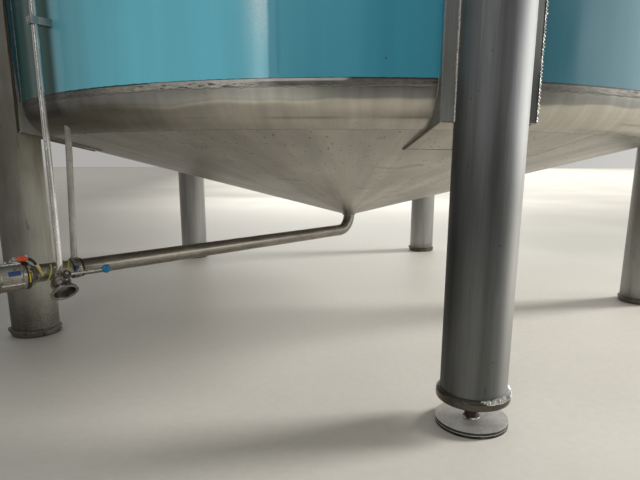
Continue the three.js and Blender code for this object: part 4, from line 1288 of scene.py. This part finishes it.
def foot():
    """A disc on a pad, with a threaded spindle up to the front leg's end plate."""
    pad, low, high = 0.0105, 0.0118, 0.021
    made = Shape()
    sole = rounded([(0, 0), (FOOT - 0.001, 0, 0.002), (FOOT, pad, 0.001), (0, pad)], 0.001)
    made.add(lathe(sole, 128), 1)
    rim = [(FOOT - 0.004, 0.0104), (FOOT + 0.0003, 0.0106), (FOOT + 0.0003, 0.0118), (FOOT - 0.004, 0.0120)]
    made.add(lathe(rim, 128, closed=True), 0)
    disc = rounded([(0, low), (FOOT - 0.001, low, 0.001), (FOOT, high, 0.002), (0, high)], 0.001)
    # The disc's top gets the foot steel, its sides and underside the dark edge steel, as painted shade
    made.add_by_side(lathe(disc, 128), (0, 0, 1), 0.6, 0, 4)
    top = END_PLATE_BOTTOMS[0] - 0.0003
    made.add(lathe([(SPINDLE + 0.0005, 0.019), (SPINDLE, 0.024), (SPINDLE, top)], 48), 2)
    heights = np.linspace(0.030, top - 0.002, 220)
    turns = 2 * math.pi * heights / THREAD_PITCH
    reach = SPINDLE + 0.0002
    made.add(sweep(np.stack([reach * np.cos(turns), reach * np.sin(turns), heights], axis=1), 0.0009, 6), 2)
    for start, end in ((-0.6, 0.9), (1.5, 2.6), (3.4, 5.2)):
        count = int(40 * (end - start))
        made.add(ring_weld(0.0255, 0.0215, FILLET, count, 0.010, 0.0045, 0.006, 170 + count, 6, 5.0,
                           span=(start, end)), 3)
    made.piece("leg_1_foot_disc", [foot_steel, pad_steel, spindle_steel, bright_weld, edge_steel],
               "foot_steel", ["leg_1_foot"], leg_place(0))


for index in range(len(LEG_AZIMUTHS)):
    leg_pipe(index)
    bracket(index)
    end_plate(index)
foot()


# Drain line


def across_pipe(along, radius, count=80):
    """An upright ring round the axis of the level pipe, and the way outwards from it."""
    angles = np.linspace(0, 2 * math.pi, count)
    out = np.stack([np.zeros(count), radius * np.cos(angles), radius * np.sin(angles)], axis=1)
    return out + (along, 0, DRAIN_HEIGHT), out


def along_pipe(along):
    """Turns a shape's axis along the level pipe."""
    return Matrix.Translation((along, 0, DRAIN_HEIGHT)) @ Matrix.Rotation(math.pi / 2, 4, "Y")


def drain_pipe():
    bend_top = DRAIN_HEIGHT + DRAIN_BEND
    outlet = cone_line(BOTTOM_DISH, -PLATE, DRAIN)[-1][1]
    elbow = arc((0, 0, bend_top), (0, 0, DRAIN_HEIGHT), (DRAIN_BEND, 0, DRAIN_HEIGHT), 20)
    straight = [(x, 0, DRAIN_HEIGHT) for x in np.linspace(DRAIN_BEND, DRAIN_END, 60)[1:]]
    made = Shape().add(sweep(np.concatenate([[(0, 0, outlet)], elbow, straight]), DRAIN, 64))
    for index, along in enumerate((DRAIN_BEND, PIPE_JOINT, DRAIN_END - 0.006)):
        ring, out = across_pipe(along, DRAIN)
        made.add(bead(ring, out / DRAIN, 0.0055, 0.0009, 0.004, 180 + index, 4), 1)
    for points, steps, thick in STRAPS:
        line = smooth_line(np.array(points) + (0, 0, DRAIN_HEIGHT), steps)
        made.add(sweep(line, thick, 12), 2)
    made.piece("drain_pipe_run", [pipe_steel, dull_weld, green], "pipe_steel", ["drain_pipe"], DRAIN_PLACE,
               sharp=60)


def hanger():
    """A rod from the knuckle to a clamp with rubber under it, bolted at both ears."""
    low, high = np.array((HANGER, 0, DRAIN_HEIGHT + 0.036)), np.array(HANGER_HEAD)
    made = Shape().add(sweep([low + (high - low) * t for t in np.linspace(0, 1, 12)], 0.0125, 32))
    bore = DRAIN + 0.0003
    band = [(bore, -0.014), (0.0420, -0.015, 0.002), (0.0420, 0.015, 0.002), (bore, 0.014)]
    made.add(hoop(band, 64), 1, along_pipe(HANGER))
    rubber = [(bore, -0.0165), (0.0385, -0.0165), (0.0385, 0.0165), (bore, 0.0165)]
    made.add(lathe(rubber, 64, closed=True), 2, along_pipe(HANGER))
    sleeve = rounded([(bore, -0.007), (0.0390, -0.007, 0.002), (0.0390, 0.007, 0.002), (bore, 0.007)],
                     0.001)
    made.add(lathe(sleeve, 64, closed=True), 2, along_pipe(HANGER - 0.0195))
    for sign in (-1, 1):
        near, far = (HANGER - 0.013, sign * 0.041 - 0.011), (HANGER + 0.013, sign * 0.041 + 0.011)
        made.add(slab((*near, DRAIN_HEIGHT - 0.006), (*far, DRAIN_HEIGHT + 0.006), 0.0012), 1)
        made.add_bolt(Matrix.Translation((HANGER, sign * 0.044, DRAIN_HEIGHT + 0.006)), 3, 0.0045, 0.006)
    block = slab((HANGER + 0.003, 0.040, DRAIN_HEIGHT + 0.004),
                 (HANGER + 0.017, 0.052, DRAIN_HEIGHT + 0.018), 0.002)
    made.add(block, 5)
    angles = np.linspace(0, 6.283, 40)
    weld = [(HANGER + 0.0135 * math.cos(t), 0.0135 * math.sin(t), DRAIN_HEIGHT + 0.043) for t in angles]
    out = [(math.cos(t) * 0.7, math.sin(t) * 0.7, 0.7) for t in angles]
    made.add(bead(weld, out, 0.006, 0.003, 0.004, 190), 4)
    made.piece("drain_hanger_rod", [hanger_steel, valve_steel, black, bolt_steel, dull_weld, label_blue],
               "pipe_steel", ["drain_hanger"], DRAIN_PLACE)


def groove_clamp(made):
    """A clamp in the groove of the drain valve, with a coloured arch and two pairs of lugs."""
    foot, top = VALVE_BODY - 0.0055, VALVE_BODY + 0.001
    section = [(foot, 0.0265), (top, 0.0285, 0.002), (top, 0.0435, 0.002), (foot, 0.0455)]
    made.add(hoop(section, 96), 1, along_pipe(DRAIN_END))
    along, reach = DRAIN_END + 0.036, VALVE_BODY + 0.002
    turns = np.linspace(-0.35, 0.55, 24)
    arch = [(along, reach * math.cos(a), DRAIN_HEIGHT + reach * math.sin(a)) for a in turns]
    made.add(sweep(arch, 0.0028, 12), 4)
    reach = VALVE_BODY + 0.005
    for angle in (0.5, 0.5 + math.pi):
        at = (along, reach * math.cos(angle), DRAIN_HEIGHT + reach * math.sin(angle))
        place = Matrix.Translation(at) @ Matrix.Rotation(angle, 4, "X")
        for side in (-0.0075, 0.0075):
            made.add(slab((-0.0055, -0.007, side - 0.004), (0.0055, 0.008, side + 0.004), 0.001), 2, place)
        made.add_bolt(place @ Matrix.Translation((0, 0.003, 0.0115)), 3, 0.0032, 0.004)


def valve_rods(made):
    """Rods along the drain valve's body, between two raised rings."""
    start, end = VALVE_RINGS
    reach = VALVE_BODY + 0.0012
    for angle in middles(8)[1::2]:
        y, z = reach * math.cos(angle), DRAIN_HEIGHT + reach * math.sin(angle)
        made.add(sweep([(DRAIN_END + start, y, z), (DRAIN_END + end, y, z)], 0.0042, 16), 3)
    foot, top = VALVE_BODY - 0.003, VALVE_BODY + 0.002
    for at in VALVE_RINGS:
        low, high = at - 0.004, at + 0.004
        section = [(foot, low), (top, low, 0.001), (top, high, 0.001), (foot, high)]
        made.add(hoop(section, 96, 0.0005), 0, along_pipe(DRAIN_END))


def valve_stem(made):
    """The stem with its boss and collar, and two nuts on the body beside it."""

    def upright(low, high, radius, sides, kind):
        made.add(sweep([(STEM_PLACE, 0, low), (STEM_PLACE, 0, high)], radius, sides), kind)

    upright(DRAIN_HEIGHT + 0.045, LEVER_HEIGHT - 0.006, 0.013, 40, 0)
    upright(LEVER_HEIGHT - 0.007, LEVER_HEIGHT + 0.008, 0.006, 24, 3)
    collar = lathe([(0.017, 0), (0.0185, 0.001), (0.0185, 0.006), (0.017, 0.007)], 40)
    made.add(collar, 3, Matrix.Translation((STEM_PLACE, 0, LEVER_HEIGHT - 0.0135)))
    for along, side in ((0.030, 0.010), (0.105, 0.012)):
        at = (DRAIN_END + along, side, DRAIN_HEIGHT + VALVE_BODY - 0.0010)
        made.add_bolt(Matrix.Translation(at), 3, 0.0045, 0.007)


def drain_valve():
    """Round body with a reducer, a groove and an open ferrule, and a bare plate on its side."""
    body = VALVE_BODY
    outline = [(0, 0.0003), (0.0365, 0.0003), (body - 0.002, 0.027, 0.004), (body - 0.002, 0.032, 0.001),
               (body - 0.006, 0.032), (body - 0.006, 0.040), (body - 0.002, 0.040, 0.001),
               (body, 0.044, 0.002), (body, 0.151, 0.004), (0.048, 0.159, 0.003),
               (0.048, 0.180, 0.002), (0.053, 0.182, 0.001),
               (0.053, 0.189, 0.001), (0.033, 0.189, 0.001), (0.033, 0.127), (0, 0.127)]
    made = Shape().add(lathe(rounded(outline, 0.0008), 96), place=along_pipe(DRAIN_END))
    groove_clamp(made)
    valve_rods(made)
    valve_stem(made)
    # Bare plate on the body, and the weld of the reducer
    lift = body + 0.0008
    lap = [[(DRAIN_END + x, lift * math.sin(a), DRAIN_HEIGHT + lift * math.cos(a)) for x in (0.065, 0.108)]
           for a in np.linspace(1.02, 1.36, 9)]
    made.add(grid(lap, close_columns=False), 5)
    made.add(bead(*across_pipe(DRAIN_END + 0.001, 0.0362), 0.006, 0.0014, 0.004, 195, 4), 6)
    materials = [valve_steel, black, valve_steel, bolt_steel, yellow, label_blue, dull_weld]
    made.piece("drain_valve_body_parts", materials, "valve_steel", ["drain_valve_body"], DRAIN_PLACE)


def drain_lever():
    """A flat strap that bends down at its end, with a ribbed grip and a curled sleeve."""
    made = Shape()
    run = smooth_line(LEVER_LINE, 60)
    step = np.gradient(run, axis=0)
    side = np.stack([-step[:, 1], step[:, 0]], axis=1) / np.linalg.norm(step, axis=1)[:, None]
    strap = [tuple(p) for p in run + 0.0025 * side] + [tuple(p) for p in (run - 0.0025 * side)[::-1]]
    made.add(prism(strap, -0.0080, 0.0080, 0.0005), 1)
    made.add(slab((0.013, -0.013, -0.006), (0.048, 0.013, 0.010), 0.004, 3), 0)
    for x in (0.018, 0.026, 0.034, 0.042):
        made.add(slab((x, -0.0138, -0.0062), (x + 0.003, 0.0138, 0.0106), 0.001), 0)
    for low, high, reach, kind in ((0.050, 0.077, 0.0056, 2), (0.076, 0.098, 0.0047, 3)):
        part = run[(run[:, 0] > low) & (run[:, 0] < high)]
        made.add(sweep([(x, -0.0035, z) for x, z in part], reach, 20), kind)
    for x, z in ((0.0, 0.003), (0.042, 0.010)):
        made.add_bolt(Matrix.Translation((x, 0, z)), 4, 0.0040, 0.005, 0.001)
    at = Matrix.Translation((STEM_PLACE, 0, LEVER_HEIGHT))
    place = DRAIN_PLACE @ at @ Matrix.Rotation(LEVER_TURN, 4, "Z")
    made.piece("drain_valve_lever_parts", [orange, bolt_steel, black, yellow, bolt_steel], "lever_grip",
               ["drain_valve_lever"], place, "drain_lever")


def branch_body():
    """The body turned about the branch's axis, with painted shade inside its open mouth."""
    outline = rounded([(BRANCH, 0.036), (BRANCH, 0.044, 0.003), (0.037, 0.050, 0.003),
                       (0.037, 0.084, 0.006), (0.054, 0.103, 0.003),
                       (0.054, 0.110, 0.002), (0.042, 0.110, 0.002),
                       (0.0385, 0.0985, 0.002), (0.034, 0.083, 0.003), (0, 0.083)], 0.002, 5)
    points, faces = lathe(outline, 80)
    centres = np.array([np.mean([points[i] for i in face], axis=0) for face in faces])
    # Painted shade: faces inside the mouth get the dark hub steel
    inside = (np.hypot(centres[:, 0], centres[:, 1]) < 0.0415) & (centres[:, 2] > 0.0825)
    made = Shape().add((points, faces))
    made.kinds[-len(faces):] = [3 if hidden else 0 for hidden in inside]
    return made


def branch_valve():
    """Neck on the drain pipe, round body, bell mouth with its bolts and the seat inside, and the stem."""
    made = branch_body()
    angles = np.linspace(0, 2 * math.pi, 80)
    saddle = []
    for a in angles:
        x, y = (BRANCH + 0.0002) * math.cos(a), (BRANCH + 0.0002) * math.sin(a)
        saddle.append((x, y, math.sqrt(DRAIN ** 2 - x * x) + 0.0005))
    rows = [saddle[:-1], [(BRANCH * math.cos(a), BRANCH * math.sin(a), 0.040) for a in angles[:-1]]]
    made.add(grid(rows))
    made.add(bead(saddle, [(p[0] * 20, p[1] * 20, 0.6) for p in saddle], 0.007, 0.003, 0.004, 200, 5), 2)
    made.add(hoop([(0.0365, 0.060), (0.0395, 0.0605, 0.001), (0.0395, 0.0655, 0.001), (0.0365, 0.066)], 80))
    for a in middles(6):
        at = Matrix.Translation((0.0455 * math.cos(a), 0.0455 * math.sin(a), 0.100))
        made.add_bolt(at @ Matrix.Rotation(math.pi, 4, "X"), 1, 0.0036, 0.004)
    disc = rounded([(0, 0.0855), (0.020, 0.0855, 0.004), (0.030, 0.0840)], 0.002)
    made.add(lathe(np.concatenate([disc, [(0.030, 0.0828)]]), 60), 1)
    made.add(sweep([(0.030, 0, BRANCH_STEM), (0.068, 0, BRANCH_STEM)], 0.009, 32))
    nut = lathe([(0.0115, 0), (0.013, 0.001), (0.013, 0.008), (0.0115, 0.009)], 6)
    made.add(nut, 1, pointing((1, 0, 0), (0.048, 0, BRANCH_STEM)))
    made.piece("branch_valve_body_parts", [valve_steel, bolt_steel, dull_weld, hub_steel], "valve_steel",
               ["branch_valve_body"], branch_place())


def branch_lever():
    """A ribbed hub and a round arm with a ball knob."""
    start, length = 0.0683, 0.018
    middle = start + length / 2
    turn = pointing((1, 0, 0), (start, 0, 0))
    hub = [(0, 0), (0.0145, 0, 0.001), (0.016, 0.002, 0.001), (0.016, length - 0.002, 0.001),
           (0.0145, length, 0.001), (0, length)]
    made = Shape().add(lathe(rounded(hub, 0.001), 48), place=turn)
    for k in range(HUB_RIBS):
        rib = slab((-0.0010, 0.0155, 0.002), (0.0010, 0.0168, 0.016), 0.0004, 1)
        made.add(rib, place=turn @ Matrix.Rotation(2 * math.pi * k / HUB_RIBS, 4, "Z"))
    made.add_bolt(turn @ Matrix.Translation((0, 0, 0.0178)), 1, 0.0050, 0.004, 0.001)
    made.add(sweep([(middle, -0.004, 0), (middle, -0.150, 0)], 0.0055, 24), 1)
    angles = np.linspace(-math.pi / 2, math.pi / 2, 25)
    ball = np.stack([BALL * np.cos(angles), BALL * np.sin(angles)], axis=1)
    ball[0, 0] = ball[-1, 0] = 0
    made.add(lathe(ball, 48), 2, Matrix.Translation((middle, -BALL_REACH, 0)))
    collar = lathe([(0.0062, 0), (0.0085, 0.001), (0.0085, 0.005), (0.0062, 0.006)], 24)
    made.add(collar, 2, pointing((0, -1, 0), (middle, -0.1395, 0)))
    made.piece("branch_valve_lever_parts", [hub_steel, bolt_steel, blue], "valve_steel",
               ["branch_valve_lever"], branch_place(BRANCH_STEM), "branch_lever")


def level_tube():
    """An upright tube that enters the drain pipe low down and the shell at its head."""
    x, y = TUBE_PLACE, TUBE_OFFSET
    inward = -np.array((x, y)) / math.hypot(x, y)

    def at(distance, height):
        return (x + inward[0] * distance, y + inward[1] * distance, height)

    def piece(shape, name, node, **settings):
        shape.piece(name, [tube_steel], "tube_steel", [node], DRAIN_PLACE, **settings)

    low, high = TUBE_FOOT + TUBE_BEND, TUBE_HEAD - TUBE_BEND
    run = Shape().add(sweep([(x, y, z) for z in np.linspace(low, high, 40)], TUBE, 40))
    piece(run, "level_tube_run", "level_tube", sharp=60)
    bend = arc((x, y - TUBE_BEND, TUBE_FOOT), (x, y, TUBE_FOOT), (x, y, low), 14)
    lower = Shape().add(sweep(np.concatenate([[(x, 0.0305, TUBE_FOOT)], bend]), TUBE, 40))
    lower.add(sweep([(x, y, low - 0.003), (x, y, low + 0.003)], [TUBE + 0.0008, TUBE + 0.0008], 40))
    piece(lower, "level_tube_lower_elbow", "level_tube_lower_bend")
    bend = arc((x, y, high), (x, y, TUBE_HEAD), at(TUBE_BEND, TUBE_HEAD), 14)
    upper = Shape().add(sweep(np.concatenate([bend, [at(0.055, TUBE_HEAD)]]), TUBE, 40))
    piece(upper, "level_tube_upper_elbow", "level_tube_upper_bend")


def tube_clip(index):
    """A block on the shell, a band round the tube and a block in front of it, with two bolts."""
    name = f"level_tube_clip_{index + 1}"
    radius, turn = math.hypot(TUBE_PLACE, TUBE_OFFSET), math.atan2(TUBE_OFFSET, TUBE_PLACE)
    wide, tall = CLIP_HALVES
    made = Shape()
    made.add(slab((SHELL - 0.002, -wide, -tall), (radius - 0.004, wide, tall), 0.002))
    made.add(slab((radius + 0.001, -wide, -tall), (radius + 0.020, wide, tall), 0.003))
    bore = TUBE + 0.0003
    band = hoop([(bore, -tall), (TUBE + 0.005, -tall), (TUBE + 0.005, tall), (bore, tall)], 40)
    made.add(band, place=Matrix.Translation((radius, 0, 0)))
    for sign in (-1, 1):
        made.add_bolt(pointing((1, 0, 0), (radius + 0.0195, 0, sign * 0.006)), 1, 0.0032, 0.004, 0.001)
    place = DRAIN_PLACE @ Matrix.Rotation(turn, 4, "Z") @ Matrix.Translation((0, 0, CLIP_HEIGHTS[index]))
    made.piece(f"{name}_block", [clip_steel, bolt_steel], "clip_steel", [name], place)


drain_pipe()
hanger()
drain_valve()
drain_lever()
branch_valve()
branch_lever()
level_tube()
for index in range(len(CLIP_HEIGHTS)):
    tube_clip(index)


# Floor, light and camera

edges = (-FLOOR_HALF, FLOOR_HALF)
floor = Shape().add(grid([[(x, y, 0) for x in edges] for y in edges], close_columns=False))
mesh = bpy.data.meshes.new("floor")
mesh.from_pydata(np.concatenate(floor.points).tolist(), [], floor.faces)
mesh.materials.append(floor_look())
ground = bpy.data.objects.new("floor", mesh)
ground.location.z = -FLOOR_DROP
bpy.context.scene.collection.objects.link(ground)


def lamp(name, kind, at, towards, power, colour, diffuse=True, glossy=True, **settings):
    data = bpy.data.lights.new(name, kind)
    data.energy, data.color = power, colour
    for setting, value in settings.items():
        setattr(data, setting, value)
    made = bpy.data.objects.new(name, data)
    made.location = at
    made.rotation_euler = (Vector(towards) - Vector(at)).to_track_quat("-Z", "Y").to_euler()
    made.visible_diffuse, made.visible_glossy = diffuse, glossy
    bpy.context.scene.collection.objects.link(made)


def window(name, at, towards, width, height, power, colour, **seen):
    lamp(name, "AREA", at, towards, power, colour, shape="RECTANGLE", size=width, size_y=height, **seen)


# Each window: place, the point it faces, width, height, power and colour
lamp("key", "SUN", (0, 0, 0), KEY_DIRECTION, KEY_POWER, (1.0, 0.985, 0.955), glossy=False, angle=KEY_ANGLE)
window("front", (-2.8, -6.4, 2.4), (-0.9, -1.5, 1.8), 3.4, 2.0, 88, (1.0, 0.995, 0.985), glossy=False)
window("strip_left", (-3.9, -5.44, 2.4), (-0.6, -1.6, 1.4), 0.30, 4.0, 13, (1.0, 0.99, 0.98), diffuse=False)
window("window_right", (7.5, -3.4, 2.6), (0.0, -1.8, 1.2), 6.0, 3.4, 165, (1.0, 0.985, 0.96))
window("window_back", (2.0, 8.5, 2.6), (0.0, 0.0, 0.6), 8.0, 3.2, 125, (1.0, 0.99, 0.97))
window("ceiling_back", (0.0, 36.0, 9.0), (0.0, 36.0, 0.0), 80.0, 50.0, 9500, (1.0, 0.99, 0.96),
       glossy=False)

world = bpy.data.worlds.new("studio")
bpy.context.scene.world = world
world.use_nodes = True
sky = Nodes(world.node_tree, "ShaderNodeOutputWorld", "ShaderNodeBackground", "Generated")


def glow(side, low, high, to_low, to_high):
    """Light from one side of the studio, by the direction's dot product with that side."""
    towards = sky.node("VectorMath", {0: sky.at, 1: side}, "Value", operation="DOT_PRODUCT")
    return sky.span(towards, low, high, to_low, to_high)


level = glow((0, 1, 0), -0.2, 0.8, 0.12, 0.42) + glow((1, 0, 0), 0.3, 0.9, 0.0, 0.30)
sky.set(Strength=level + glow((0, 0, 1), 0.35, 0.75, 0.0, 0.30), Color=(1.0, 0.985, 0.95))


def camera_turn():
    """The camera's axes, from its turn to the left, its pitch down and its roll."""
    level_ahead = Vector((-math.sin(CAMERA_TURN), math.cos(CAMERA_TURN), 0))
    ahead = level_ahead * math.cos(CAMERA_PITCH) - Vector((0, 0, math.sin(CAMERA_PITCH)))
    right = Vector((math.cos(CAMERA_TURN), math.sin(CAMERA_TURN), 0))
    up = right.cross(ahead)
    along, across = math.cos(CAMERA_ROLL), math.sin(CAMERA_ROLL)
    right, up = along * right + across * up, along * up - across * right
    return Matrix((right, up, -ahead)).transposed().to_4x4()


scene = bpy.context.scene
scene.view_settings.view_transform = "Standard"
scene.view_settings.look = "None"
lens = bpy.data.cameras.new("photo_camera")
lens.lens = CAMERA_LENS
lens.sensor_width = CAMERA_SENSOR
lens.shift_x, lens.shift_y = CAMERA_SHIFT
lens.clip_end = 200
camera = bpy.data.objects.new("photo_camera", lens)
camera.matrix_world = Matrix.Translation(CAMERA_PLACE) @ camera_turn()
scene.collection.objects.link(camera)
scene.camera = camera
